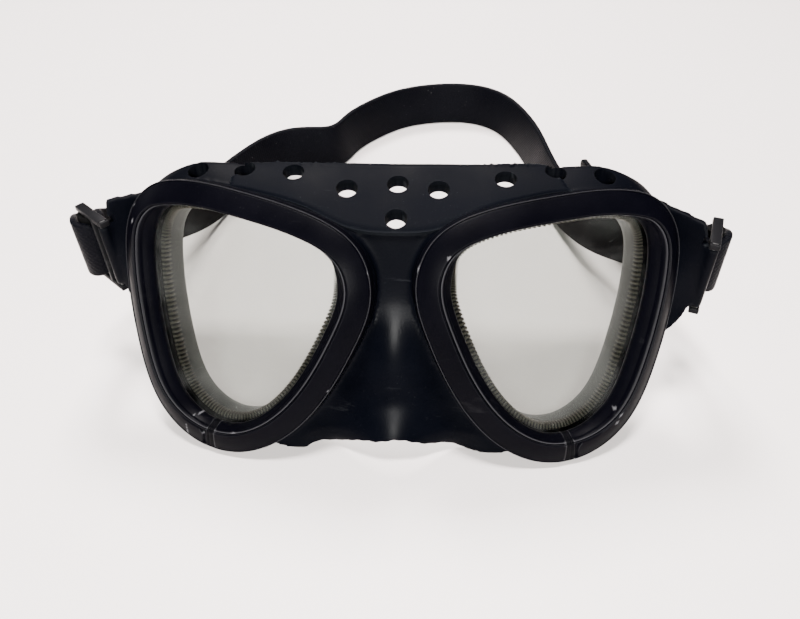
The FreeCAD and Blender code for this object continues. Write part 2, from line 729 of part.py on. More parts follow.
def make_straps():
    """The strap, parted on a cylinder round each hinge so that its folds move with the buckles."""
    line = through_points(strap_stations())
    strap = strap_loft(line, line.getKnots())
    folds, rest = [], strap
    for side in (LEFT, RIGHT):
        x, y, z = HINGE[side]
        reach = size("stub_reach")
        near = Part.makeCylinder(reach, 120, V(x, y, z - 60))
        beyond = Part.makeCylinder(reach + size("stub_gap"), 120, V(x, y, z - 60))
        folds.append(add_shape(f"{SIDE_NAME[side]}_strap_fold", strap.common(near)))
        rest = rest.cut(beyond)
    pieces = sorted(rest.Solids, key=lambda solid: solid.CenterOfMass.x)
    _, main_run, right_tail = pieces
    for piece in (main_run, right_tail):
        piece.fix(1e-3, 1e-3, 1e-3)
    return folds + [
        add_shape("left_strap_tail", left_tail(line)),
        add_shape("strap", main_run),
        add_shape("right_strap_tail", right_tail),
    ]


# ---------------------------------------------------------------- assembly

def check(parts):
    """Stops unless every object is in a good state and every sub-part is a valid solid."""
    for thing in doc.Objects:
        if "Invalid" in thing.State or "Error" in thing.State:
            raise RuntimeError(f"{thing.Label} is {thing.State}")
    for part in parts:
        shape = part.Shape
        if shape.isNull() or not shape.isValid() or not shape.Solids:
            raise RuntimeError(f"{part.Label} has no valid solid")


def stand_on_origin(parts):
    """Moves the goggles so that their box stands centred on the origin."""
    box = FreeCAD.BoundBox()
    for part in parts:
        box.add(part.Shape.optimalBoundingBox())
    shift = FreeCAD.Placement(V(-box.Center.x, -box.Center.y, -box.ZMin), FreeCAD.Rotation())
    for part in parts:
        part.Placement = shift.multiply(part.Placement)
    print("shift", shift.Base, "box", box.XLength, box.YLength, box.ZLength)


def main():
    facepiece = make_facepiece()
    parts = [facepiece, make_brow_band(facepiece)]
    for side in (LEFT, RIGHT):
        parts += make_rim(side)
        parts += [make_lens(side), make_ribbed_ring(side), make_sleeve(side)]
        parts += make_buckle(side)
    parts += make_straps()
    doc.recompute()
    check(parts)
    stand_on_origin(parts)
    doc.recompute()
    os.makedirs("parts", exist_ok=True)
    for part in parts:
        print(part.Label, len(part.Shape.Solids), round(part.Shape.Volume, 1))
        part.Shape.exportStep(f"parts/{part.Label}.step")


main()
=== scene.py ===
"""The looks of the black rubber twin-lens goggles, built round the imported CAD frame.

Lengths are in millimetres in the mask's own axes (X to the wearer's left, Y to the back of the head, Z up)
until placed() turns them into the frame's metres. A rim plane has its own axes: p outward from the nose,
q up the leaning plane, w forward out of it. The size of an inset is measured inward from a rim's outer edge.
"""

import json
import math

import bmesh
import bpy
import numpy as np
from mathutils import Matrix, Vector, noise


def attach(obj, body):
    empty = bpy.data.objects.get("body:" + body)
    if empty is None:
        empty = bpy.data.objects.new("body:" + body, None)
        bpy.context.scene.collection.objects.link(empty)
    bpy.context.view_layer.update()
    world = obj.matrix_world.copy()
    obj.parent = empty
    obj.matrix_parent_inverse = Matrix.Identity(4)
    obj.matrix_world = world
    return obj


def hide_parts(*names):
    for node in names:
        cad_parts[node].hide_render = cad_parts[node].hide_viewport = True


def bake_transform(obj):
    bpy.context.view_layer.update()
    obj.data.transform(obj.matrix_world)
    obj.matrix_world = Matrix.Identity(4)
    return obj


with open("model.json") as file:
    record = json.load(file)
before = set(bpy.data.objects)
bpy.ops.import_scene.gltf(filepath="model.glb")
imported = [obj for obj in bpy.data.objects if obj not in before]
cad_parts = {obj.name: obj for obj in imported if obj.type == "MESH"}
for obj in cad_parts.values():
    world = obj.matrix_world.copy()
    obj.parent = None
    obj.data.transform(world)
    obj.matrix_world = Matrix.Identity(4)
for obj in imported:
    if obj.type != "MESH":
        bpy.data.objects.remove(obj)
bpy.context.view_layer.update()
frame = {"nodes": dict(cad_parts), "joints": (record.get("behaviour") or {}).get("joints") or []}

LEFT, RIGHT = -1, 1
SIDES = ((LEFT, "left"), (RIGHT, "right"))
HINGE = {LEFT: (-88.0, 50.5, 47.4), RIGHT: (92.0, 47.5, 45.0)}
SWING = {LEFT: 50.0, RIGHT: -19.0}
PIVOT = {joint["name"]: joint["pos_m"] for joint in frame["joints"]}
ORIGIN = np.array(PIVOT["left_buckle_pivot"]) * 1000 - HINGE[LEFT]
FLOOR = -ORIGIN[2]

# ---------------------------------------------------------------- driving shapes

RIM_LEAN, RIM_WRAP, RIM_TURN = 30.0, 12.0, -2.1
RIM_CENTRE = (48.0, 50.0)
RIM_EDGE = [
    (83.6, 50.0), (85.0, 66.0), (83.0, 79.0), (76.3, 86.8), (64.5, 89.2), (45.0, 86.6),
    (25.5, 81.8), (10.5, 72.8), (6.2, 60.0), (10.5, 44.5), (20.1, 26.6), (34.2, 12.0),
    (48.0, 6.5), (60.5, 8.0), (74.1, 18.9), (81.0, 36.5),
]
KEY_POINT = (57.0, 7.2)
KEY_HALF = 1.65
# Insets for edges that face the nose, the top, the bottom and outward.
CREST_INSET = (6.3, 7.1, 6.7, 4.3)
OPENING_INSET = (10.5, 7.6, 8.9, 9.0)
RING_INSET = (13.7, 9.0, 10.5, 10.4)
RIM_DEPTH = 3.6
RUBBER = 2.2

HOOD_HALF = [
    ((0.0, 43.5, 61.6), (0.0, 69.0, 69.0)),
    ((13.0, 45.0, 61.9), (14.0, 69.0, 69.1)),
    ((25.0, 50.0, 64.8), (27.0, 68.8, 69.1)),
    ((43.0, 55.8, 66.8), (45.0, 68.5, 69.3)),
    ((58.0, 59.3, 67.8), (59.0, 69.3, 70.0)),
    ((70.5, 61.3, 65.8), (69.0, 69.3, 67.0)),
    ((78.9, 60.5, 60.0), (76.5, 69.3, 61.0)),
    ((82.0, 53.0, 47.5), (80.5, 66.0, 45.0)),
    ((80.8, 43.8, 31.0), (80.8, 56.0, 31.0)),
    ((78.5, 38.5, 21.0), (79.0, 46.0, 22.0)),
]
BAND_HALF = [
    ((0.0, 43.0, 63.0), (0.0, 68.5, 70.4)),
    ((13.0, 44.8, 63.3), (14.0, 68.5, 70.5)),
    ((25.0, 50.0, 66.2), (27.0, 68.3, 70.5)),
    ((36.0, 53.9, 67.6), (37.0, 68.0, 70.6)),
    ((48.0, 57.2, 68.6), (49.0, 67.9, 70.6)),
]
NOSE_SECTIONS = [
    (-1.4, [(38.0, 17.2), (29.0, 15.4), (17.0, 18.2), (0.0, 8.0)]),
    (4.0, [(36.5, 18.2), (27.6, 17.8), (15.6, 16.9), (0.0, 10.7)]),
    (9.0, [(32.0, 19.6), (23.6, 20.5), (12.4, 18.3), (0.0, 14.1)]),
    (15.0, [(26.5, 22.0), (19.2, 23.2), (9.8, 21.2), (0.0, 19.3)]),
    (22.0, [(21.0, 25.5), (15.0, 26.5), (7.5, 24.4), (0.0, 22.9)]),
    (33.0, [(15.5, 30.0), (11.0, 31.0), (5.5, 30.0), (0.0, 28.9)]),
    (42.0, [(12.0, 34.5), (8.0, 35.5), (4.0, 35.6), (0.0, 35.5)]),
    (52.0, [(11.0, 39.5), (7.0, 40.0), (3.5, 40.2), (0.0, 40.2)]),
    (62.0, [(14.0, 46.0), (8.0, 44.9), (4.0, 44.4), (0.0, 44.4)]),
]
EAR_STATIONS = {
    RIGHT: [
        ((77.0, 40.0, 20.0), (87.6, 44.2, 31.0)),
        ((79.0, 44.0, 28.0), (90.3, 46.2, 37.0)),
        ((80.0, 50.5, 44.0), (90.9, 46.9, 46.0)),
        ((79.0, 57.5, 56.0), (90.8, 47.8, 56.0)),
        ((76.0, 61.5, 63.0), (89.6, 51.0, 61.5)),
    ],
    LEFT: [
        ((77.0, 40.0, 20.0), (86.2, 48.0, 35.4)),
        ((79.0, 44.0, 28.0), (86.8, 49.3, 40.0)),
        ((80.0, 50.5, 44.0), (86.9, 50.0, 48.0)),
        ((79.0, 57.5, 56.0), (86.9, 51.0, 58.0)),
        ((76.0, 61.5, 63.0), (86.7, 53.2, 65.0)),
    ],
}
LIP_HALF = [
    ((38.0, 69.0, 68.4), (38.0, 69.4, 60.5)),
    ((45.0, 68.9, 68.6), (45.0, 69.3, 60.0)),
    ((59.0, 69.2, 69.2), (58.0, 69.4, 60.5)),
    ((68.0, 69.2, 66.8), (66.0, 69.4, 58.5)),
    ((73.5, 69.2, 63.0), (70.5, 69.3, 56.0)),
]
VENTS = [
    (-31.0, 63.6), (-14.5, 58.1), (0.5, 60.0), (12.6, 58.1), (0.5, 47.5), (32.2, 61.5),
    (47.1, 65.1), (61.5, 64.5), (-60.5, 65.1), (-46.0, 64.6),
]
VENT_RADIUS = 3.25

ROLLER_REACH, ROLLER_RADIUS = 11.0, 2.6
HALF_WIDTH, HALF_HEIGHT, ARM_THICK = 1.5, 13.0, 1.8    # of a buckle frame
ARM_FRONT, ARM_BACK = -1.8, 13.4
STRAP_WIDTH, STRAP_THICK, STRAP_DROP = 20.0, 2.2, 0.8
END_RADIUS = 4.0    # of the strap's rounded ends
TURN_RADIUS = ROLLER_RADIUS + 0.25 + STRAP_THICK / 2
MAIN_RUN = [
    (-100.8, 57.4, 36.2), (-102.5, 61.8, 34.6), (-101.9, 68.0, 31.2), (-98.5, 78.0, 25.6),
    (-94.5, 92.0, 19.2), (-91.0, 108.0, 12.0), (-87.6, 126.0, 4.2), (-83.2, 145.0, -0.6),
    (-77.0, 161.0, -1.4), (-72.0, 170.8, -1.4), (-65.8, 179.8, -1.4), (-59.0, 185.2, -1.4),
    (-51.5, 187.2, -1.4), (-44.5, 187.4, -1.4), (-38.2, 189.2, -1.4), (-33.8, 194.0, -1.4),
    (-30.8, 201.0, -1.4), (-27.0, 208.4, -1.4), (-20.8, 216.6, -1.4), (-7.5, 229.0, -1.4),
    (7.0, 235.0, -1.4), (21.0, 236.5, -1.4), (33.5, 233.5, -1.4), (42.5, 226.0, -1.4),
    (50.0, 211.5, -1.4), (55.2, 194.0, -1.4), (58.8, 171.0, -1.4), (62.5, 147.5, -0.3),
    (67.5, 127.5, 3.0), (74.8, 108.0, 8.5), (80.8, 96.5, 13.2), (86.6, 84.0, 19.4),
    (91.2, 73.3, 26.4), (93.3, 66.0, 31.4),
]
SPLIT_STATION = 20    # the strap's two halves meet at this point of the main run
LEFT_TAIL = [
    (-95.6, 63.6, 35.6), (-95.7, 67.8, 33.0), (-92.9, 74.0, 29.2), (-88.5, 81.0, 24.8),
    (-84.4, 88.6, 20.4),
]
RIGHT_TAIL = [
    (100.4, 61.0, 33.0), (99.9, 67.3, 29.6), (96.4, 78.5, 23.9), (92.3, 91.0, 18.4),
    (88.6, 105.5, 13.0), (84.9, 121.5, 8.7), (81.6, 137.5, 5.4), (79.2, 150.0, 3.4),
    (77.9, 159.0, 2.4),
]
LEAN_FROM, LEAN_TO, STRAP_LEAN = 100.0, 150.0, 3.0


# ---------------------------------------------------------------- curves and meshes

def placed(points):
    """Points in the mask's millimetres, as the frame's metres."""
    return (np.asarray(points, float) + ORIGIN) / 1000


def smoothstep(value, low, high):
    share = np.clip((value - low) / (high - low), 0, 1)
    return share * share * (3 - 2 * share)


def slopes(points, marks, closed):
    """The slope at each point of the smooth cubic through them."""
    count = len(points)
    steps = np.diff(marks)
    system, right = np.zeros((count, count)), np.zeros_like(points)
    for i in range(count):
        before, after = steps[i - 1], steps[i % len(steps)]
        if not closed and i in (0, count - 1):
            near, far, step = (0, 1, steps[0]) if i == 0 else (count - 1, count - 2, -steps[-1])
            system[i, near], system[i, far] = 2, 1
            right[i] = 3 * (points[far] - points[near]) / step
            continue
        last, following = (i - 1) % count, (i + 1) % count
        system[i, last] += after
        system[i, i] += 2 * (before + after)
        system[i, following] += before
        right[i] = 3 * (after * (points[i] - points[last]) / before
                        + before * (points[following] - points[i]) / after)
    return np.linalg.solve(system, right)


def smooth_curve(points, where, closed=False):
    """Points and tangents of a smooth curve at shares (0 to 1) of its chord length."""
    points = np.asarray(points, float)
    ends = np.vstack([points, points[:1]]) if closed else points
    marks = np.concatenate([[0], np.cumsum(np.linalg.norm(np.diff(ends, axis=0), axis=1))])
    slope = slopes(points, marks, closed)
    if closed:
        slope = np.vstack([slope, slope[:1]])
    at = np.asarray(where, float) * marks[-1]
    i = np.clip(np.searchsorted(marks, at, side="right") - 1, 0, len(marks) - 2)
    step = (marks[i + 1] - marks[i])[:, None]
    t = (at - marks[i])[:, None] / step
    a, b, m, n = ends[i], ends[i + 1], slope[i] * step, slope[i + 1] * step
    place = (a * (1 + 2 * t) * (1 - t) ** 2 + m * t * (1 - t) ** 2
             + b * t * t * (3 - 2 * t) + n * t * t * (t - 1))
    tangent = (6 * t * (t - 1) * (a - b) + m * (1 - t) * (1 - 3 * t) + n * t * (3 * t - 2)) / step
    return place, tangent / np.linalg.norm(tangent, axis=1)[:, None]


def even_shares(points, count, closed=False):
    """Shares of the chord length that cut the curve into even lengths."""
    fine = np.linspace(0, 1, 4000)
    place, _ = smooth_curve(points, fine, closed)
    run = np.concatenate([[0], np.cumsum(np.linalg.norm(np.diff(place, axis=0), axis=1))])
    goal = np.linspace(0, run[-1], count, endpoint=not closed)
    return np.interp(goal, run, fine), run[-1]


def grid_faces(rows, columns, close_rows=False, close_columns=False):
    """Quads of a grid whose point (r, c) has the index r * columns + c."""
    faces = []
    for r in range(rows if close_rows else rows - 1):
        for c in range(columns if close_columns else columns - 1):
            s, d = (r + 1) % rows, (c + 1) % columns
            faces.append((r * columns + c, r * columns + d, s * columns + d, s * columns + c))
    return faces


def new_mesh(name, points, faces, smooth=True):
    """An object from points in the mask's millimetres, with its faces turned outward."""
    mesh = bpy.data.meshes.new(name)
    mesh.from_pydata([tuple(p) for p in placed(points)], [], faces)
    shell = bmesh.new()
    shell.from_mesh(mesh)
    bmesh.ops.recalc_face_normals(shell, faces=shell.faces)
    shell.to_mesh(mesh)
    shell.free()
    mesh.shade_smooth() if smooth else mesh.shade_flat()
    piece = bpy.data.objects.new(name, mesh)
    bpy.context.scene.collection.objects.link(piece)
    return piece


def tube(name, rings, closed=False, smooth=True):
    """A solid through closed rings of points (ring, point, xyz), capped unless it closes on itself."""
    rings = np.asarray(rings, float)
    count, size = rings.shape[:2]
    faces = grid_faces(count, size, closed, True)
    if not closed:
        faces += [tuple(range(size))[::-1], tuple(range((count - 1) * size, count * size))]
    return new_mesh(name, rings.reshape(-1, 3), faces, smooth)


def skin(name, outer, inner):
    """A solid between two point grids of the same size."""
    rows, columns = outer.shape[:2]
    top = grid_faces(rows, columns)
    below = [tuple(i + rows * columns for i in face[::-1]) for face in top]
    rim = ([(0, c) for c in range(columns)] + [(r, columns - 1) for r in range(1, rows)]
           + [(rows - 1, c) for c in range(columns - 2, -1, -1)] + [(r, 0) for r in range(rows - 2, 0, -1)])
    ring = [r * columns + c for r, c in rim]
    wall = [(a, b, b + rows * columns, a + rows * columns) for a, b in zip(ring, ring[1:] + ring[:1])]
    return new_mesh(name, np.vstack([outer.reshape(-1, 3), inner.reshape(-1, 3)]), top + below + wall)


def with_modifiers(piece):
    """Replaces the piece's mesh by what its modifiers make of it."""
    graph = bpy.context.evaluated_depsgraph_get()
    made = bpy.data.meshes.new_from_object(piece.evaluated_get(graph))
    piece.modifiers.clear()
    piece.data = made
    return piece


def merged(name, pieces):
    """One object that holds the meshes of several."""
    whole = bmesh.new()
    for piece in pieces:
        whole.from_mesh(piece.data)
        bpy.data.objects.remove(piece)
    mesh = bpy.data.meshes.new(name)
    whole.to_mesh(mesh)
    whole.free()
    joined = bpy.data.objects.new(name, mesh)
    bpy.context.scene.collection.objects.link(joined)
    return joined


def carve(piece, cutter):
    """Cuts a closed solid out of a piece."""
    cut = piece.modifiers.new("cut", "BOOLEAN")
    cut.operation = "DIFFERENCE"
    cut.solver = "MANIFOLD"
    cut.object = cutter
    with_modifiers(piece)
    bpy.data.objects.remove(cutter)


def soften(piece, width, segments, angle):
    """Rounds the edges of a piece that turn by more than an angle in degrees."""
    bevel = piece.modifiers.new("soft_edges", "BEVEL")
    bevel.width = width / 1000
    bevel.segments = segments
    bevel.limit_method = "ANGLE"
    bevel.angle_limit = math.radians(angle)
    return with_modifiers(piece)


# ---------------------------------------------------------------- materials

def rgb(red, green, blue):
    return (red, green, blue, 1.0)


class Nodes:
    """A short way to write a node tree: each call adds a node and gives its first output."""

    def __init__(self, name):
        self.material = bpy.data.materials.new(name)
        self.material.use_nodes = True
        self.tree = self.material.node_tree
        self.shader = self.tree.nodes["Principled BSDF"]
        self.output = self.tree.nodes["Material Output"]
        self.place = self.tree.nodes.new("ShaderNodeTexCoord").outputs["Object"]

    def add(self, kind, output=0, settings=(), **inputs):
        node = self.tree.nodes.new("ShaderNode" + kind)
        for key, value in settings:
            setattr(node, key, value)
        for key, value in inputs.items():
            self.feed(node.inputs[key.replace("_", " ")], value)
        return node.outputs[output]

    def feed(self, socket, value):
        if isinstance(value, bpy.types.NodeSocket):
            self.tree.links.new(value, socket)
        else:
            socket.default_value = value

    def set(self, **inputs):
        for key, value in inputs.items():
            self.feed(self.shader.inputs[key.replace("_", " ")], value)

    def noise(self, scale, detail=3.0, roughness=0.55, stretch=None, distortion=0.0):
        """Noise at so many features a metre; stretch scales it by axis."""
        vector = self.place
        if stretch:
            vector = self.add("Mapping", Vector=self.place, Scale=stretch)
        return self.add("TexNoise", Vector=vector, Scale=scale, Detail=detail,
                        Roughness=roughness, Distortion=distortion)

    def ramp(self, value, low, high, start=0.0, end=1.0):
        node = self.tree.nodes.new("ShaderNodeMapRange")
        self.feed(node.inputs["Value"], value)
        for key, number in (("From Min", low), ("From Max", high), ("To Min", start), ("To Max", end)):
            node.inputs[key].default_value = number
        return node.outputs[0]

    def math(self, operation, first, second=0.0):
        node = self.tree.nodes.new("ShaderNodeMath")
        node.operation = operation
        self.feed(node.inputs[0], first)
        self.feed(node.inputs[1], second)
        return node.outputs[0]

    def mix(self, share, first, second):
        node = self.tree.nodes.new("ShaderNodeMix")
        node.data_type = "RGBA"
        self.feed(node.inputs["Factor"], share)
        self.feed(node.inputs[6], first)
        self.feed(node.inputs[7], second)
        return node.outputs[2]

    def bump(self, height, distance, strength=1.0, normal=None):
        node = self.tree.nodes.new("ShaderNodeBump")
        self.feed(node.inputs["Height"], height)
        node.inputs["Distance"].default_value = distance
        node.inputs["Strength"].default_value = strength
        if normal is not None:
            self.feed(node.inputs["Normal"], normal)
        return node.outputs[0]

    def edges(self, low=0.52, high=0.62):
        """How much a spot is lightened: high on outside edges, as wear and on the rims also as a painted highlight."""
        pointiness = self.add("NewGeometry", output="Pointiness")
        return self.ramp(pointiness, low, high)


def worn_black(name, colour, dust_and_sheen_colour, gloss, dust, shine, edge_wear_and_sheen=0.2, scratch_share=0.5,
               matte_above=None):
    """Moulded black rubber or plastic: fine grain, soft mottling, dust specks, scuffs and lightened outside edges,
    which are wear and, where their share is high as on the rims, also a painted highlight.

    Above the height matte_above, in metres, its gloss fades.
    """
    n = Nodes(name)
    mottle = n.noise(60, 4)
    grain = n.noise(1800, 2)
    speck = n.ramp(n.noise(1800, 2, 0.7), 0.68, 0.74)
    patch = n.ramp(n.noise(45, 3), 0.45, 0.75)
    specks = n.math("MULTIPLY", speck, patch)
    long_marks = n.noise(90, 6, 0.75, stretch=(0.12, 1.0, 1.6), distortion=0.4)
    scratches = n.math("MULTIPLY", n.ramp(long_marks, 0.62, 0.70), scratch_share)
    # Lightened outside edges: wear, and where the share is high, as on the rims, also a painted highlight.
    edge_wear_and_sheen_mask = n.math("MULTIPLY", n.edges(0.53, 0.66), edge_wear_and_sheen)
    light = n.math("MAXIMUM", n.math("MULTIPLY", specks, dust), n.math("MULTIPLY", scratches, dust))
    base = n.mix(n.ramp(mottle, 0.3, 0.7), rgb(*colour), rgb(*(1.35 * c for c in colour)))
    base = n.mix(light, base, rgb(*dust_and_sheen_colour))
    base = n.mix(edge_wear_and_sheen_mask, base, rgb(*dust_and_sheen_colour))
    uneven = n.ramp(mottle, 0.25, 0.75, gloss - 0.07, gloss + 0.10)
    rough = n.math("ADD", uneven, n.math("MULTIPLY", light, 0.3))
    if matte_above:
        height = n.tree.nodes.new("ShaderNodeSeparateXYZ")
        n.feed(height.inputs[0], n.place)
        rough = n.math("ADD", rough, n.ramp(height.outputs[2], matte_above, matte_above + 0.010, 0.0, 0.22))
    relief = n.bump(grain, 0.00004, 0.6)
    relief = n.bump(scratches, 0.00003, 0.5, relief)
    n.set(Base_Color=base, Roughness=rough, Normal=relief, Specular_IOR_Level=shine)
    return n.material


def rubber_material():
    return worn_black("worn_rubber", (0.0007, 0.0009, 0.0018), (0.05, 0.055, 0.06), 0.27, 0.3, 0.02,
                      matte_above=0.045)


def band_material():
    return worn_black("brow_rubber", (0.0009, 0.0012, 0.0022), (0.05, 0.055, 0.06), 0.5, 0.45, 0.012,
                      scratch_share=0.8)


def rim_material():
    # Its strong, pale edge lightening is partly wear and partly a painted highlight along the rims' outer bead.
    return worn_black("rim_plastic", (0.0007, 0.0007, 0.0015), (0.13, 0.13, 0.14), 0.36, 0.10, 0.02, 0.6, 0.25)


def key_material():
    return worn_black("key_rubber", (0.0010, 0.0010, 0.0016), (0.05, 0.05, 0.05), 0.5, 0.3, 0.02)


def buckle_material():
    return worn_black("buckle_plastic", (0.0008, 0.0008, 0.0015), (0.08, 0.08, 0.08), 0.4, 0.3, 0.03, 0.35)


def roller_material():
    # Darker than the other black parts in colour and dust: painted shade for the roller inside the strap's fold.
    return worn_black("roller_plastic", (0.0006, 0.0006, 0.0008), (0.02, 0.02, 0.02), 0.5, 0.2, 0.02)


def strap_material():
    """Black strap rubber with a fine diagonal crosshatch, laid out along and across the strap."""
    n = Nodes("strap_rubber")
    uv = n.add("UVMap", settings=(("uv_map", "along"),))
    split = n.tree.nodes.new("ShaderNodeSeparateXYZ")
    n.feed(split.inputs[0], uv)
    along, across = split.outputs[0], split.outputs[1]
    lines = []
    for sign in (1.0, -1.0):
        slanted = n.math("ADD", along, n.math("MULTIPLY", across, sign * 0.8))
        lines.append(n.ramp(n.math("SINE", n.math("MULTIPLY", slanted, 4.2)), 0.2, 1.0))
    weave = n.math("MAXIMUM", lines[0], lines[1])
    mottle = n.noise(50, 4)
    dust = n.math("MULTIPLY", n.ramp(n.noise(600, 2, 0.7), 0.68, 0.76), 0.3)
    base = n.mix(n.ramp(mottle, 0.3, 0.7), rgb(0.0011, 0.0012, 0.0022), rgb(0.0020, 0.0022, 0.0034))
    base = n.mix(dust, base, rgb(0.07, 0.07, 0.07))
    relief = n.bump(weave, 0.00012, 0.55)
    relief = n.bump(n.noise(1500, 2), 0.00003, 0.4, relief)
    n.set(Base_Color=base, Roughness=n.ramp(mottle, 0.25, 0.75, 0.44, 0.58), Normal=relief,
          Specular_IOR_Level=0.025)
    return n.material


def steel_material():
    n = Nodes("pin_steel")
    lines = n.noise(400, 3, stretch=(1.0, 1.0, 0.05))
    n.set(Base_Color=rgb(0.20, 0.20, 0.20), Metallic=1.0, Roughness=n.ramp(lines, 0.3, 0.7, 0.28, 0.42),
          Normal=n.bump(lines, 0.00002, 0.4))
    return n.material


def ring_material():
    """Aged cream plastic with painted shade between its ribs, which the mesh's rib attribute marks."""
    n = Nodes("ring_plastic")
    grime = n.ramp(n.noise(80, 4), 0.35, 0.7)
    raised = n.add("Attribute", output="Fac", settings=(("attribute_name", "rib"),))
    rib_colour = n.mix(grime, rgb(0.155, 0.135, 0.112), rgb(0.105, 0.092, 0.077))
    # Near black between the ribs: painted shade in the gaps.
    base = n.mix(n.ramp(raised, 0.25, 0.8), rgb(0.0030, 0.0030, 0.0030), rib_colour)
    n.set(Base_Color=base, Roughness=n.ramp(grime, 0, 1, 0.35, 0.6), Normal=n.bump(n.noise(900), 0.00003, 0.4))
    return n.material


def sleeve_material():
    """Smooth translucent silicone, bluish grey, that lets some light through."""
    n = Nodes("sleeve_silicone")
    haze = n.noise(35, 3)
    base = n.mix(n.ramp(haze, 0.3, 0.7), rgb(0.105, 0.108, 0.108), rgb(0.14, 0.143, 0.142))
    n.set(Base_Color=base, Roughness=n.ramp(haze, 0.3, 0.7, 0.25, 0.4), Subsurface_Weight=0.05, Specular_IOR_Level=0.15,
          Subsurface_Radius=(0.002, 0.002, 0.002), Normal=n.bump(n.noise(500), 0.00003, 0.3))
    return n.material


def lens_material():
    """Clear tempered glass: a see-through tint that is partly the glass's own and partly painted shade on what lies
    behind it, a clear reflection, and a little dust and smearing.
    """
    n = Nodes("lens_glass")
    smear = n.ramp(n.noise(30, 5, 0.6, stretch=(1.0, 1.6, 0.6), distortion=1.2), 0.45, 0.75)
    speck = n.ramp(n.noise(520, 2, 0.7), 0.73, 0.78)
    # Darker than clear glass passes: partly tint, partly painted shade for the floor behind the lens.
    clear = n.add("BsdfTransparent", Color=rgb(0.64, 0.655, 0.635))
    shine = n.add("BsdfGlossy", Color=rgb(0.95, 0.95, 0.95), Roughness=n.ramp(smear, 0, 1, 0.02, 0.14))
    haze = n.add("BsdfDiffuse", Color=rgb(0.75, 0.77, 0.75))
    facing = n.add("Fresnel", IOR=1.5)
    dirt = n.math("ADD", n.math("MULTIPLY", smear, 0.035), n.math("MULTIPLY", speck, 0.25))

    def blended(share, first, second):
        node = n.tree.nodes.new("ShaderNodeMixShader")
        n.feed(node.inputs[0], share)
        n.feed(node.inputs[1], first)
        n.feed(node.inputs[2], second)
        return node.outputs[0]

    surface = blended(dirt, blended(facing, clear, shine), haze)
    n.tree.links.new(surface, n.output.inputs["Surface"])
    n.material.surface_render_method = "BLENDED"
    return n.material


def floor_material():
    n = Nodes("pale_floor")
    cloud = n.noise(2.5, 3)
    base = n.mix(n.ramp(cloud, 0.3, 0.7), rgb(0.80, 0.745, 0.73), rgb(0.83, 0.78, 0.765))
    n.set(Base_Color=base, Roughness=0.55, Normal=n.bump(n.noise(400, 2), 0.00002, 0.3))
    return n.material


def painted(piece, material):
    piece.data.materials.clear()
    piece.data.materials.append(material)
    return piece


def settled(piece, material, slot, body, *replaced):
    """Paints a piece, lets it ride on a body and stand for its CAD nodes."""
    painted(piece, material)
    if body:
        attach(piece, body)
    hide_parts(*replaced)
    return piece


# ---------------------------------------------------------------- rims

def rim_axes(side):
    lean, wrap = math.radians(RIM_LEAN), math.radians(RIM_WRAP)
    p_axis = np.array([math.cos(wrap), side * math.sin(wrap) * math.cos(lean),
                       -side * math.sin(wrap) * math.sin(lean)])
    q_axis = np.array([0, math.sin(lean), math.cos(lean)])
    return np.array([p_axis, q_axis, np.cross(p_axis, q_axis)])


def from_rim(side, local):
    """Rim plane points (side * p, q, w), with the rim's slip in the rubber, as mask points."""
    turn = math.radians(RIM_TURN)
    centre = np.array([side * RIM_CENTRE[0], RIM_CENTRE[1], 0])
    spin = np.array([[math.cos(turn), -math.sin(turn), 0], [math.sin(turn), math.cos(turn), 0], [0, 0, 1]])
    return ((local - centre) @ spin.T + centre) @ rim_axes(side)


def edge_samples(count=None, runs=None):
    """Places and inward normals round the rim edge, and the length so far from the key.

    The places are even, or lie at the given lengths from the key, counted outward.
    """
    fine = np.linspace(0, 1, 6001)
    place, tangent = smooth_curve(RIM_EDGE, fine, True)
    length = np.concatenate([[0], np.cumsum(np.linalg.norm(np.diff(place, axis=0), axis=1))])
    key = length[np.argmin(np.linalg.norm(place - KEY_POINT, axis=1))]
    total = length[-1]
    if runs is None:
        runs = np.linspace(0, total, count, endpoint=False)
    at = np.interp((key + np.asarray(runs)) % total, length, fine)
    place, tangent = smooth_curve(RIM_EDGE, at, True)
    return place, np.stack([-tangent[:, 1], tangent[:, 0]], 1), total


def inset_at(inset, normals):
    """The inset for each inward normal; inset is one number or the four of the edge's sides."""
    if not isinstance(inset, tuple):
        return np.full(len(normals), float(inset))
    nose, top, bottom, outer = inset
    sideways = np.where(normals[:, 0] < 0, outer, nose)
    upright = np.where(normals[:, 1] < 0, top, bottom)
    return normals[:, 0] ** 2 * sideways + normals[:, 1] ** 2 * upright


def grown(inset, amount):
    return tuple(value + amount for value in inset)


def rim_rings(side, places, normals, depths, heights):
    """Rings of mask points: depths inward from the edge and heights over the rim plane, (place, point)."""
    flat = places[:, None, :] + normals[:, None, :] * depths[:, :, None]
    local = np.dstack([side * flat[:, :, 0], flat[:, :, 1], np.broadcast_to(heights, depths.shape)])
    return from_rim(side, local)


def lens_stack(name, side, levels, count=240):
    """A closed solid through (inset, height) levels of the lens outline."""
    places, normals, _ = edge_samples(count)
    depths = np.stack([inset_at(inset, normals) for inset, _ in levels], 1)
    heights = np.array([height for _, height in levels])
    rings = rim_rings(side, places, normals, depths, heights)
    return tube(name, rings.transpose(1, 0, 2))


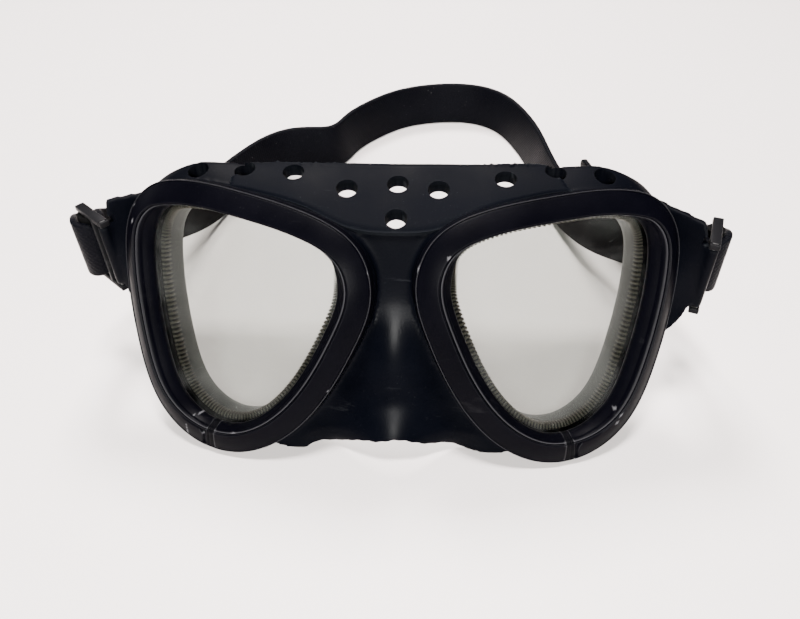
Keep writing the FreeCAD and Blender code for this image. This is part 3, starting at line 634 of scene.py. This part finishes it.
# The face of a rim as (share across, height): shares 0 to 1 cross the outer band, 1 to 2 the inner slope.
BAND_START = 0.56
BAND_SHARES = np.concatenate([np.linspace(0.0, 0.90, 15), [0.94, 0.97, 0.99]])
SLOPE_FACE = [
    (1.00, 3.2), (1.025, 2.2), (1.09, 2.05), (1.115, 2.7), (1.16, 2.92), (1.28, 2.66), (1.38, 2.32),
    (1.43, 2.08), (1.46, 1.72), (1.50, 1.58), (1.62, 1.20), (1.76, 0.72), (1.90, 0.16), (1.96, -0.2),
    (2.0, -0.62),
]
CORNER_RADIUS = 3.4
CORNER_START = 0.9


def band_height(share):
    """The outer band rises in a slight crown and rounds over at both its edges."""
    rise = 0.62 + 2.80 * share + 0.20 * np.sin(math.pi * np.clip(share, 0, 1))
    rolled = 0.35 * np.clip((share - 0.93) / 0.06, 0, 1) ** 2
    return rise - rolled


def rim_profile(normals, runs, key_part):
    """Depths and heights of the whole rim section at each place."""
    crest, opening = inset_at(CREST_INSET, normals), inset_at(OPENING_INSET, normals)
    face_shares = np.concatenate([BAND_SHARES, [share for share, _ in SLOPE_FACE]])
    slope_heights = [height for _, height in SLOPE_FACE]
    face_heights = np.concatenate([band_height(BAND_SHARES), slope_heights])
    across = np.clip(face_shares, 0, 1)
    beyond = np.clip(face_shares - 1, 0, 1)
    face = BAND_START + across * (crest[:, None] - BAND_START) + beyond * (opening - crest)[:, None]
    heights = np.tile(face_heights, (len(normals), 1))
    if not key_part:
        # The band ends in a rounded corner beside the key, and the level below it shows round the corner.
        x = (runs - KEY_HALF - CORNER_START)[:, None]
        y = crest[:, None] - face
        corner = (x < CORNER_RADIUS) & (y < CORNER_RADIUS)
        radial = CORNER_RADIUS - np.hypot(CORNER_RADIUS - x, CORNER_RADIUS - y)
        inside = np.where(corner, radial, np.minimum(x, y))
        near = (runs < 12)[:, None] & (face_shares <= 1)
        step = 0.7 * (1 - smoothstep(inside, -0.1, 0.15)) + 0.35 * np.exp(-(inside / 0.25) ** 2)
        heights = heights - np.where(near & (y > 0.25), step, 0)
    count = len(normals)
    one = np.ones((count, 1))
    wall = [(0.55, -RIM_DEPTH), (0.12, -3.45), (0.0, -3.1), (0.0, -1.6), (0.0, -0.1), (0.0, 0.26),
            (0.05, 0.48), (0.16, 0.6), (0.28, 0.62), (0.38, 0.55), (0.44, 0.42), (0.5, 0.42)]
    under_depths = [opening - 0.02, opening - 0.1, opening - 0.35, np.full(count, 1.95),
                    np.full(count, 1.8), np.full(count, 1.8)]
    under_heights = [-1.3, -2.05, -2.2, -2.2, -2.35, -RIM_DEPTH]
    depths = np.hstack([one * [depth for depth, _ in wall], face, np.stack(under_depths, 1)])
    heights = np.hstack([one * [height for _, height in wall], heights, one * under_heights])
    return depths, heights


def make_rim(side, name):
    _, _, total = edge_samples(4)
    near_key = KEY_HALF + np.linspace(0, 9, 36)
    rest = np.linspace(KEY_HALF + 9.5, total - KEY_HALF, 330)
    runs = np.concatenate([near_key, rest])
    places, normals, _ = edge_samples(runs=runs)
    depths, heights = rim_profile(normals, runs, False)
    rim = tube(f"{name}_rim_shell", rim_rings(side, places, normals, depths, heights))
    return settled(rim, RIM, "rim_plastic", "mask", f"{name}_rim")


def make_key(side, name):
    """The filler in a rim's split: a little below the rim's face, with a groove along its middle."""
    half = KEY_HALF - 0.12
    runs = np.linspace(-half, half, 17)
    places, normals, _ = edge_samples(runs=runs)
    depths, heights = rim_profile(normals, runs, True)
    face = (heights > 0.4)
    drop = 0.16 + 0.30 * np.exp(-((runs - 0.25) / 0.16) ** 2) + 0.2 * (np.abs(runs) > half - 0.1)
    heights = heights - face * drop[:, None]
    key = tube(f"{name}_rim_filler", rim_rings(side, places, normals, depths, heights))
    return settled(key, KEY, "key_rubber", "mask", f"{name}_rim_key")


# ---------------------------------------------------------------- lens, ribbed ring and sleeve

LENS_FRONT, LENS_BACK = -2.25, -5.25
RING_FRONT, RING_BACK = -5.3, -8.5
SLEEVE_FRONT, SLEEVE_BACK = -8.55, -16.55
RIB_PITCH = 1.2


def make_ring(side, name):
    """A flat ring whose inner wall carries a row of small rounded ribs."""
    _, _, total = edge_samples(4)
    inner_length = total * 0.78
    ribs = round(inner_length / RIB_PITCH)
    places, normals, _ = edge_samples(ribs * 6)
    phase = np.arange(len(places)) / 6 * 2 * math.pi
    rib = smoothstep(np.cos(phase), -0.35, 0.45)
    opening = inset_at(OPENING_INSET, normals)
    reach = inset_at(RING_INSET, normals) - opening - 0.85 + 0.62 * rib
    front = RING_FRONT - 0.8 * (1 - rib)
    rows = [
        (opening - 0.45, front * 0 + RING_FRONT), (opening + 0.25, front * 0 + RING_FRONT),
        (opening + 0.45, front), (opening + reach - 0.12, front), (opening + reach, front - 0.15),
        (opening + reach, front * 0 + RING_BACK + 0.25), (opening + reach - 0.15, front * 0 + RING_BACK),
        (opening - 0.45, front * 0 + RING_BACK),
    ]
    depths = np.stack([depth for depth, _ in rows], 1)
    heights = np.stack([height for _, height in rows], 1)
    ring = tube(f"{name}_rib_ring", rim_rings(side, places, normals, depths, heights), True)
    raised = ring.data.attributes.new("rib", "FLOAT", "POINT")
    raised.data.foreach_set("value", np.repeat(rib, len(rows)))
    return settled(ring, RING, "ring_plastic", "mask", f"{name}_ribbed_ring")


def make_sleeve(side, name):
    places, normals, _ = edge_samples(220)
    opening = inset_at(OPENING_INSET, normals)
    rows = [
        (-0.4, SLEEVE_FRONT), (0.35, SLEEVE_FRONT), (0.62, SLEEVE_FRONT - 0.15), (0.7, SLEEVE_FRONT - 0.5),
        (0.62, -11.0), (0.70, -13.5), (0.62, SLEEVE_BACK + 0.6), (0.4, SLEEVE_BACK + 0.12),
        (0.0, SLEEVE_BACK), (-0.4, SLEEVE_BACK),
    ]
    depths = np.stack([opening + depth for depth, _ in rows], 1)
    heights = np.array([height for _, height in rows])
    sleeve = tube(f"{name}_inner_sleeve", rim_rings(side, places, normals, depths, heights), True)
    return settled(sleeve, SLEEVE, "sleeve_plastic", "mask", f"{name}_lens_sleeve")


# ---------------------------------------------------------------- facepiece

def mirrored(half):
    flipped = [tuple((-x, y, z) for x, y, z in station) for station in half[:0:-1]]
    return flipped + half


def station_grid(stations, columns, rows, crown):
    """A point grid over (front, rear) stations and its outward normals, with a slight crown."""
    shares, _ = even_shares([front for front, rear in stations], columns)
    front, _ = smooth_curve([front for front, rear in stations], shares)
    rear, _ = smooth_curve([rear for front, rear in stations], shares)
    v = np.linspace(0, 1, rows)[None, :, None]
    grid = front[:, None, :] * (1 - v) + rear[:, None, :] * v
    along = np.gradient(grid, axis=0)
    back = (rear - front)[:, None, :] + 0 * grid
    normal = np.cross(along, back)
    normal /= np.linalg.norm(normal, axis=2)[:, :, None]
    return grid + normal * (crown * 4 * v * (1 - v)), normal


def hood_skin():
    grid, normal = station_grid(mirrored(HOOD_HALF), 120, 12, 0.5)
    return skin("hood", grid, grid - normal * RUBBER)


def nose_skin():
    """The nose cover: smooth across each level and smooth from level to level."""
    shares = np.linspace(0, 1, 61)
    levels = []
    for level, half in NOSE_SECTIONS:
        across = [(-x, y, level) for x, y in half[:-1]] + [(x, y, level) for x, y in half[::-1]]
        levels.append(smooth_curve(across, shares)[0])
    levels = np.array(levels)
    up = np.linspace(0, 1, 60)
    columns = [smooth_curve(levels[:, i], up)[0] for i in range(len(shares))]
    front = np.array(columns)
    back = front + np.array([0, RUBBER, 0])
    return skin("nose", front, back)


def collar(side, name):
    """The thick rubber ring that holds one rim, lens, ring and sleeve."""
    places, normals, _ = edge_samples(200)
    opening = inset_at(OPENING_INSET, normals)
    one = np.ones(len(places))
    rows = [
        (1.9 * one, -2.3), (1.9 * one, -3.7), (0.3 * one, -3.7), (0.0 * one, -5.0), (0.4 * one, -6.9),
        (4.4 * one, -10.2), (5.2 * one, -16.2), (opening - 0.6, -16.2), (opening - 0.6, -2.3),
    ]
    depths = np.stack([depth for depth, _ in rows], 1)
    heights = np.array([height for _, height in rows])
    return tube(f"{name}_collar", rim_rings(side, places, normals, depths, heights), True)


def ear(side, name):
    """A rubber tab from behind the rim out to the hinge, and the lug that holds the hinge pin."""
    flip = np.array([side, 1, 1])
    roots = np.array([root for root, tip in EAR_STATIONS[side]]) * flip
    tips = np.array([tip for root, tip in EAR_STATIONS[side]]) * flip
    backward = np.array([0.3 * side, 2.6, 0])
    shares = np.linspace(0, 1, 24)
    root, _ = smooth_curve(roots, shares)
    tip, _ = smooth_curve(tips, shares)
    v = np.linspace(0, 1, 10)[None, :, None]
    grid = root[:, None, :] * (1 - v) + tip[:, None, :] * v
    tab = skin(f"{name}_tab", grid, grid + backward)
    hinge = np.array(HINGE[side])
    height, radius = 21.8, 1.7
    lug = cylinder(f"{name}_lug", hinge, radius, height)
    middle = tips[2] + backward * 0.5
    way = middle - hinge
    way[2] = 0
    length = np.linalg.norm(way)
    way /= length
    aside = np.array([-way[1], way[0], 0]) * radius / 2
    lift = np.array([0, 0, height / 2])
    ring = [aside + lift, -aside + lift, -aside - lift, aside - lift]
    web = tube(f"{name}_web", [[hinge + r for r in ring], [hinge + way * (length + 1) + r for r in ring]])
    return [tab, lug, web]


def seal_lip(side, name):
    """The short lip that hangs from the hood's rear edge at a temple."""
    stations = LIP_HALF if side == RIGHT else [
        tuple((-x, y, z) for x, y, z in station) for station in LIP_HALF[::-1]]
    grid, normal = station_grid(stations, 40, 10, 0.0)
    return skin(f"{name}_lip", grid, grid - normal * 1.6)


def arm_rooms(side):
    """The room that a buckle's two arms need in the ear as they swing."""
    hinge = np.array(HINGE[side])
    level = HALF_HEIGHT - ARM_THICK / 2
    return [cylinder("arm_room", hinge + (0, 0, up * level), 3.6, ARM_THICK + 0.4) for up in (1, -1)]


def cylinder(name, centre, radius, height, sides=48):
    angles = np.linspace(0, 2 * math.pi, sides, endpoint=False)
    ring = np.stack([np.cos(angles) * radius, np.sin(angles) * radius, 0 * angles], 1) + centre
    lift = np.array([0, 0, height / 2])
    return tube(name, [ring - lift, ring + lift])


def rim_clearance(side, name):
    """The room that a rim needs in the rubber: everything in front of it and its rebate."""
    levels = [(-0.12, 14.0), (-0.12, -3.62), (1.88, -3.62), (1.88, -2.22)]
    return lens_stack(f"{name}_rim_room", side, levels)


def lens_room(side, name):
    seat = grown(OPENING_INSET, -1.65)
    bore = grown(OPENING_INSET, -0.5)
    levels = [(seat, 3.0), (seat, -5.35), (bore, -5.35), (bore, -24.0)]
    return lens_stack(f"{name}_lens_room", side, levels)


def cut_vents(piece):
    height, middle = 40.0, 66.0
    for i, (x, y) in enumerate(VENTS):
        carve(piece, cylinder(f"vent_{i}", np.array([x, y, middle]), VENT_RADIUS, height))


def below_edge():
    """What is trimmed off the nose cover: under a wavy line, arched in the middle and low at both sides."""
    across = np.linspace(-60, 60, 121)
    line = 0.9 - 2.3 * smoothstep(-across, 22, 30) - 2.3 * smoothstep(across, 16, 27)
    for rise, low, high in ((4.1, 7, 20), (2.4, 0, 11)):
        line = line + rise * (1 - smoothstep(np.abs(across), low, high))
    line = line + 0.25 * np.sin(across * 0.45) + 0.12 * np.sin(across * 1.7 + 1)
    rings = [[(x, -20, z), (x, 60, z), (x, 60, -30), (x, -20, -30)] for x, z in zip(across, line)]
    return tube("trimmed", rings)


def make_facepiece():
    parts = [hood_skin(), nose_skin()]
    for side, name in SIDES:
        parts.append(collar(side, name))
        parts += ear(side, name)
        parts.append(seal_lip(side, name))
    rubber = merged("rubber_facepiece", parts)
    remesh = rubber.modifiers.new("one_skin", "REMESH")
    remesh.mode = "VOXEL"
    remesh.voxel_size = 0.00065
    smooth = rubber.modifiers.new("moulded", "SMOOTH")
    smooth.factor = 0.5
    smooth.iterations = 7
    with_modifiers(rubber)
    for side, name in SIDES:
        carve(rubber, rim_clearance(side, name))
        carve(rubber, lens_room(side, name))
        for room in arm_rooms(side) + [cylinder("pin_bore", np.array(HINGE[side]), 0.92, 40.0, 32)]:
            carve(rubber, room)
    cut_vents(rubber)
    carve(rubber, below_edge())
    rubber.data.shade_smooth()
    rubber.data.set_sharp_from_angle(angle=math.radians(38))
    return settled(rubber, RUBBER_MATERIAL, "rubber", "mask", "facepiece")


# ---------------------------------------------------------------- brow band

def ragged(points, amount, seed, scale=0.35):
    """How far a torn edge wanders at each point, between -amount and amount."""
    offset = Vector((seed * 7.3, seed * 3.1, 0))
    return np.array([amount * noise.fractal(Vector(p) * scale + offset, 0.6, 2.1, 4) for p in points])


def make_band():
    grid, normal = station_grid(mirrored(BAND_HALF), 241, 34, 0.35)
    columns, rows = grid.shape[:2]
    u = np.linspace(-1, 1, columns)
    v = np.linspace(0, 1, rows)
    rear = grid[:, -1]
    torn = smoothstep(-rear[:, 0], 12, 20) + smoothstep(rear[:, 0], 22, 28)
    nibble = ragged(rear, 0.7, 3, 0.9) - 0.15
    curl = np.exp(-((rear[:, 0] - 36) / 9) ** 2) * 0.8 + np.exp(-((rear[:, 0] + 33) / 12) ** 2) * 0.35
    grid[:, :, 1] += (torn * nibble)[:, None] * smoothstep(v, 0.88, 1.0)[None, :]
    grid[:, :, 2] += (curl + 0.25 * torn * np.abs(nibble))[:, None] * smoothstep(v, 0.9, 1.0)[None, :] ** 2
    for end, seed, slant in ((0, 5, 2.2), (-1, 8, -2.6)):
        edge = grid[end]
        wander = ragged(edge, 1.1, seed, 0.4) + slant * (v - 0.5) * 2
        near = smoothstep(np.abs(u), 0.94, 1.0)[:, None] * (np.sign(u) == (-1 if end == 0 else 1))[:, None]
        grid[:, :, 0] += near * wander[None, :]
    roll = smoothstep(v, 0.0, 0.06)[None, :]
    roll = roll * smoothstep(1 - v, 0.0, 0.05)[None, :] * smoothstep(1 - np.abs(u), 0.0, 0.012)[:, None]
    outer = grid - normal * (0.45 * (1 - roll))[:, :, None]
    band = skin("brow_strip", outer, grid - normal * 1.75)
    for side, name in SIDES:
        carve(band, rim_clearance(side, name))
    cut_vents(band)
    band.data.shade_smooth()
    band.data.set_sharp_from_angle(angle=math.radians(40))
    return settled(band, BAND, "band_rubber", "mask", "brow_band")


# ---------------------------------------------------------------- buckles

def from_buckle(side, local):
    """Points in a buckle's own axes (y along its arms, z up from its middle) as mask points."""
    turn = math.radians(SWING[side])
    spin = np.array([[math.cos(turn), -math.sin(turn), 0], [math.sin(turn), math.cos(turn), 0], [0, 0, 1]])
    return np.asarray(local, float) @ spin.T + HINGE[side]


def buckle_block(name, side, low, high, radius):
    """A rounded block between two corners in a buckle's own axes."""
    corners = [(x, y, z) for x in (low[0], high[0]) for y in (low[1], high[1]) for z in (low[2], high[2])]
    faces = [(0, 1, 3, 2), (4, 6, 7, 5), (0, 4, 5, 1), (2, 3, 7, 6), (0, 2, 6, 4), (1, 5, 7, 3)]
    return soften(new_mesh(name, from_buckle(side, corners), faces), radius, 3, 30)


def make_buckle(side, name):
    """An H of two arms and a cross bar; each arm has a lip at its front end behind a narrow groove."""
    lip_back, groove = ARM_FRONT + 0.95, 0.4
    pieces = []
    for up in (1, -1):
        low_z, high_z = sorted((up * (HALF_HEIGHT - ARM_THICK), up * HALF_HEIGHT))
        spans = [
            ((-HALF_WIDTH, ARM_FRONT, low_z), (HALF_WIDTH, lip_back, high_z), 0.3),
            ((-1.2, lip_back - 0.3, low_z + 0.25), (1.2, lip_back + groove + 0.3, high_z - 0.35), 0.1),
            ((-HALF_WIDTH, lip_back + groove, low_z), (HALF_WIDTH, ARM_BACK, high_z), 0.35),
        ]
        pieces += [buckle_block("arm", side, low, top, radius) for low, top, radius in spans]
    bar_top = HALF_HEIGHT - 1
    pieces.append(buckle_block("bar", side, (-HALF_WIDTH, 3.6, -bar_top), (HALF_WIDTH, 5.1, bar_top), 0.35))
    buckle = merged(f"{name}_buckle_h", pieces)
    for reach, radius in ((0.0, 0.96), (ROLLER_REACH, 1.02)):
        centre = from_buckle(side, [(0, reach, 0)])[0]
        carve(buckle, cylinder("bore", centre, radius, 2 * HALF_HEIGHT - 0.24, 32))
    buckle.data.shade_smooth()
    buckle.data.set_sharp_from_angle(angle=math.radians(35))
    return settled(buckle, BUCKLE, "buckle_plastic", f"{name}_buckle", f"{name}_buckle_frame")


# ---------------------------------------------------------------- strap

def roller_turn(side):
    """The strap's middle line round a roller, from its inner to its outer side."""
    low = -STRAP_WIDTH / 2 - STRAP_DROP
    angles = np.radians(30 * np.arange(7))
    local = np.stack([-side * TURN_RADIUS * np.cos(angles), ROLLER_REACH - TURN_RADIUS * np.sin(angles),
                      low + 0 * angles], 1)
    return from_buckle(side, local)


def strap_route():
    """The whole strap's stations, from the left tail's end round both buckles to the right one's."""
    return np.vstack([LEFT_TAIL[::-1], roller_turn(LEFT), MAIN_RUN, roller_turn(RIGHT), RIGHT_TAIL])


def strap_section():
    """A rounded flat section as (across the thickness, up the width), counter-clockwise."""
    half, corner = STRAP_THICK / 2, 0.55
    points = []
    for side, top in ((1, 1), (-1, 1), (-1, 0), (1, 0)):
        centre = (side * (half - corner), STRAP_WIDTH - corner if top else corner)
        first = {(1, 1): 0, (-1, 1): 90, (-1, 0): 180, (1, 0): 270}[(side, top)]
        for step in range(4):
            angle = math.radians(first + 30 * step)
            points.append((centre[0] + corner * math.cos(angle), centre[1] + corner * math.sin(angle)))
    return np.array(points)


def strap_piece(name, route, shares):
    """A stretch of the strap between two shares of its route, with its length and width as a UV map."""
    line, tangent = smooth_curve(route, shares)
    aside = np.stack([tangent[:, 1], -tangent[:, 0], 0 * tangent[:, 0]], 1)
    aside /= np.linalg.norm(aside, axis=1)[:, None]
    lean = STRAP_LEAN * smoothstep(line[:, 1], LEAN_FROM, LEAN_TO)
    section = strap_section()
    run = np.concatenate([[0], np.cumsum(np.linalg.norm(np.diff(line, axis=0), axis=1))])
    to_end = run if shares[0] == 0 else run[-1] - run
    missing = END_RADIUS - np.clip(to_end, 0, END_RADIUS)
    narrowing = END_RADIUS - np.sqrt(END_RADIUS ** 2 - missing ** 2)
    bends = [from_buckle(side, [(0, ROLLER_REACH - TURN_RADIUS, 0)])[0] for side in (LEFT, RIGHT)]
    from_bend = np.min([np.hypot(line[:, 0] - bend[0], line[:, 1] - bend[1]) for bend in bends], axis=0)
    pinch = 0.9 * np.exp(-(from_bend / 2.6) ** 2)
    share = 1 - 2 * (np.minimum(narrowing, END_RADIUS - 0.4) + pinch) / STRAP_WIDTH
    middle = STRAP_WIDTH / 2
    up = (middle + (section[:, 1][None, :] - middle) * share[:, None])[:, :, None]
    rings = (line[:, None, :] + aside[:, None, :] * section[:, 0][None, :, None]
             + up * np.array([0, 0, 1.0]) - aside[:, None, :] * (lean[:, None, None] * up / STRAP_WIDTH))
    piece = tube(name, rings)
    layer = piece.data.uv_layers.new(name="along")
    size = len(section)
    for loop in piece.data.loops:
        ring, point = divmod(loop.vertex_index, size)
        layer.data[loop.index].uv = (run[ring], section[point, 1])
    return piece


def make_strap():
    route = strap_route()
    marks = np.concatenate([[0], np.cumsum(np.linalg.norm(np.diff(route, axis=0), axis=1))])
    split = marks[len(LEFT_TAIL) + 7 + SPLIT_STATION] / marks[-1]
    fine, length = even_shares(route, 560)
    ends = np.linspace(0, END_RADIUS / length, 12)
    fine = np.unique(np.concatenate([fine, ends, 1 - ends]))
    before = np.append(fine[fine < split], split)
    after = np.insert(fine[fine > split], 0, split)
    halves = (
        ("left", LEFT, before, ("left_strap_tail", "left_strap_fold", "strap")),
        ("right", RIGHT, after, ("right_strap_tail", "right_strap_fold", "strap")),
    )
    for name, side, shares, nodes in halves:
        piece = strap_piece(f"{name}_strap_half", route, shares)
        piece.data.set_sharp_from_angle(angle=math.radians(50))
        settled(piece, STRAP, "strap_rubber", None, *nodes)
        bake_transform(piece)
    print("strap length", round(length))


# ---------------------------------------------------------------- floor, light and camera

def make_floor():
    size = 3000
    corners = [(-size, -size, FLOOR), (size, -size, FLOOR), (size, size, FLOOR), (-size, size, FLOOR)]
    floor = new_mesh("floor", corners, [(0, 1, 2, 3)], False)
    painted(floor, floor_material())


def make_backdrop():
    """A pale round wall far behind the floor on every side, so that low views have no black horizon."""
    radius, low, high = 2850.0, FLOOR - 2, FLOOR + 1900
    angles = np.linspace(0, 2 * math.pi, 96, endpoint=False)
    circle = np.stack([radius * np.cos(angles), radius * np.sin(angles), 0 * angles], 1)
    points = np.vstack([circle + (0, 0, low), circle + (0, 0, high)])
    wall = new_mesh("backdrop", points, grid_faces(2, len(angles), False, True))
    n = Nodes("pale_wall")
    n.set(Base_Color=rgb(0.6, 0.58, 0.57), Roughness=0.8, Emission_Color=rgb(1.0, 0.97, 0.955),
          Emission_Strength=1.3)
    painted(wall, n.material)
    wall.visible_glossy = wall.visible_diffuse = wall.visible_shadow = False


def area_light(name, place, target, size, power, colour):
    lamp = bpy.data.lights.new(name, "AREA")
    lamp.energy = power
    lamp.color = colour
    lamp.shape = "RECTANGLE"
    lamp.size, lamp.size_y = size
    light = bpy.data.objects.new(name, lamp)
    light.location = place
    light.rotation_mode = "QUATERNION"
    light.rotation_quaternion = (Vector(target) - Vector(place)).to_track_quat("-Z", "Y")
    bpy.context.scene.collection.objects.link(light)


def make_light():
    """A dim room, a lamp overhead, one behind, a weak one on the left and a low one in front."""
    world = bpy.data.worlds.new("room")
    bpy.context.scene.world = world
    world.use_nodes = True
    tree = world.node_tree
    way = tree.nodes.new("ShaderNodeTexCoord")
    parts = tree.nodes.new("ShaderNodeSeparateXYZ")
    tree.links.new(way.outputs["Generated"], parts.inputs[0])
    levels = []
    for output, stops in (("Z", ((0.0, 0.25), (0.4, 0.4), (0.9, 1.0))),
                          ("Y", ((-0.9, 0.10), (-0.25, 0.35), (0.3, 1.0)))):
        shift = tree.nodes.new("ShaderNodeMapRange")
        shift.inputs["From Min"].default_value = -1.0
        tree.links.new(parts.outputs[output], shift.inputs["Value"])
        ramp = tree.nodes.new("ShaderNodeValToRGB")
        ramp.color_ramp.elements.new(0.5)
        for element, (position, level) in zip(ramp.color_ramp.elements, stops):
            element.position = (position + 1) / 2
            element.color = (level, level, level, 1.0)
        tree.links.new(shift.outputs[0], ramp.inputs[0])
        levels.append(ramp.outputs[0])
    both = tree.nodes.new("ShaderNodeVectorMath")
    both.operation = "MULTIPLY"
    tree.links.new(levels[0], both.inputs[0])
    tree.links.new(levels[1], both.inputs[1])
    tree.links.new(both.outputs[0], tree.nodes["Background"].inputs["Color"])
    tree.nodes["Background"].inputs["Strength"].default_value = 0.15
    area_light("lamp_top", (0.0, -0.08, 1.25), (0, 0, 0), (0.26, 0.22), 36, (1.0, 0.945, 0.93))
    area_light("lamp_back", (-0.12, 0.66, 1.0), (0, 0, 0), (0.36, 0.3), 38, (1.0, 0.94, 0.92))
    area_light("lamp_left", (-1.2, 0.25, 0.7), (0, 0, 0), (0.6, 0.5), 4, (0.96, 0.98, 1.0))
    area_light("lamp_front", (0.0, -0.92, 0.54), (0, 0, 0.02), (0.22, 0.24), 26.0, (1.0, 0.99, 0.96))


def make_camera():
    """At the photograph's viewing angle: 41.5 degrees down, turned and rolled by a little."""
    down, turn, roll = math.radians(41.53), math.radians(3.713), math.radians(1.288)
    forward = Vector((0, math.cos(down), -math.sin(down)))
    upward = Vector((0, math.sin(down), math.cos(down)))
    right = Vector((1, 0, 0))
    x_axis = math.cos(roll) * right - math.sin(roll) * upward
    y_axis = math.sin(roll) * right + math.cos(roll) * upward
    spin = Matrix.Rotation(turn, 3, "Z")
    columns = [spin @ axis for axis in (x_axis, y_axis, -forward)]
    data = bpy.data.cameras.new("camera")
    data.sensor_width = 36
    data.lens = 32.49
    camera = bpy.data.objects.new("camera", data)
    place = Matrix(columns).transposed().to_4x4()
    place.translation = Vector(placed((12.2, -123.9, 181.9)))
    camera.matrix_world = place
    data.clip_start = 0.01
    bpy.context.scene.collection.objects.link(camera)
    bpy.context.scene.camera = camera


# ---------------------------------------------------------------- assembly

RUBBER_MATERIAL = rubber_material()
BAND = band_material()
RIM = rim_material()
KEY = key_material()
BUCKLE = buckle_material()
STRAP = strap_material()
RING = ring_material()
SLEEVE = sleeve_material()

make_camera()
make_floor()
make_backdrop()
make_light()
make_facepiece()
make_band()
make_strap()
lens_glass, steel, roller_plastic = lens_material(), steel_material(), roller_material()
for side, name in SIDES:
    make_rim(side, name)
    make_key(side, name)
    make_ring(side, name)
    make_sleeve(side, name)
    make_buckle(side, name)
    painted(frame["nodes"][f"{name}_lens"], lens_glass)
    painted(frame["nodes"][f"{name}_hinge_pin"], steel)
    painted(frame["nodes"][f"{name}_roller_pin"], steel)
    painted(frame["nodes"][f"{name}_roller"], roller_plastic)
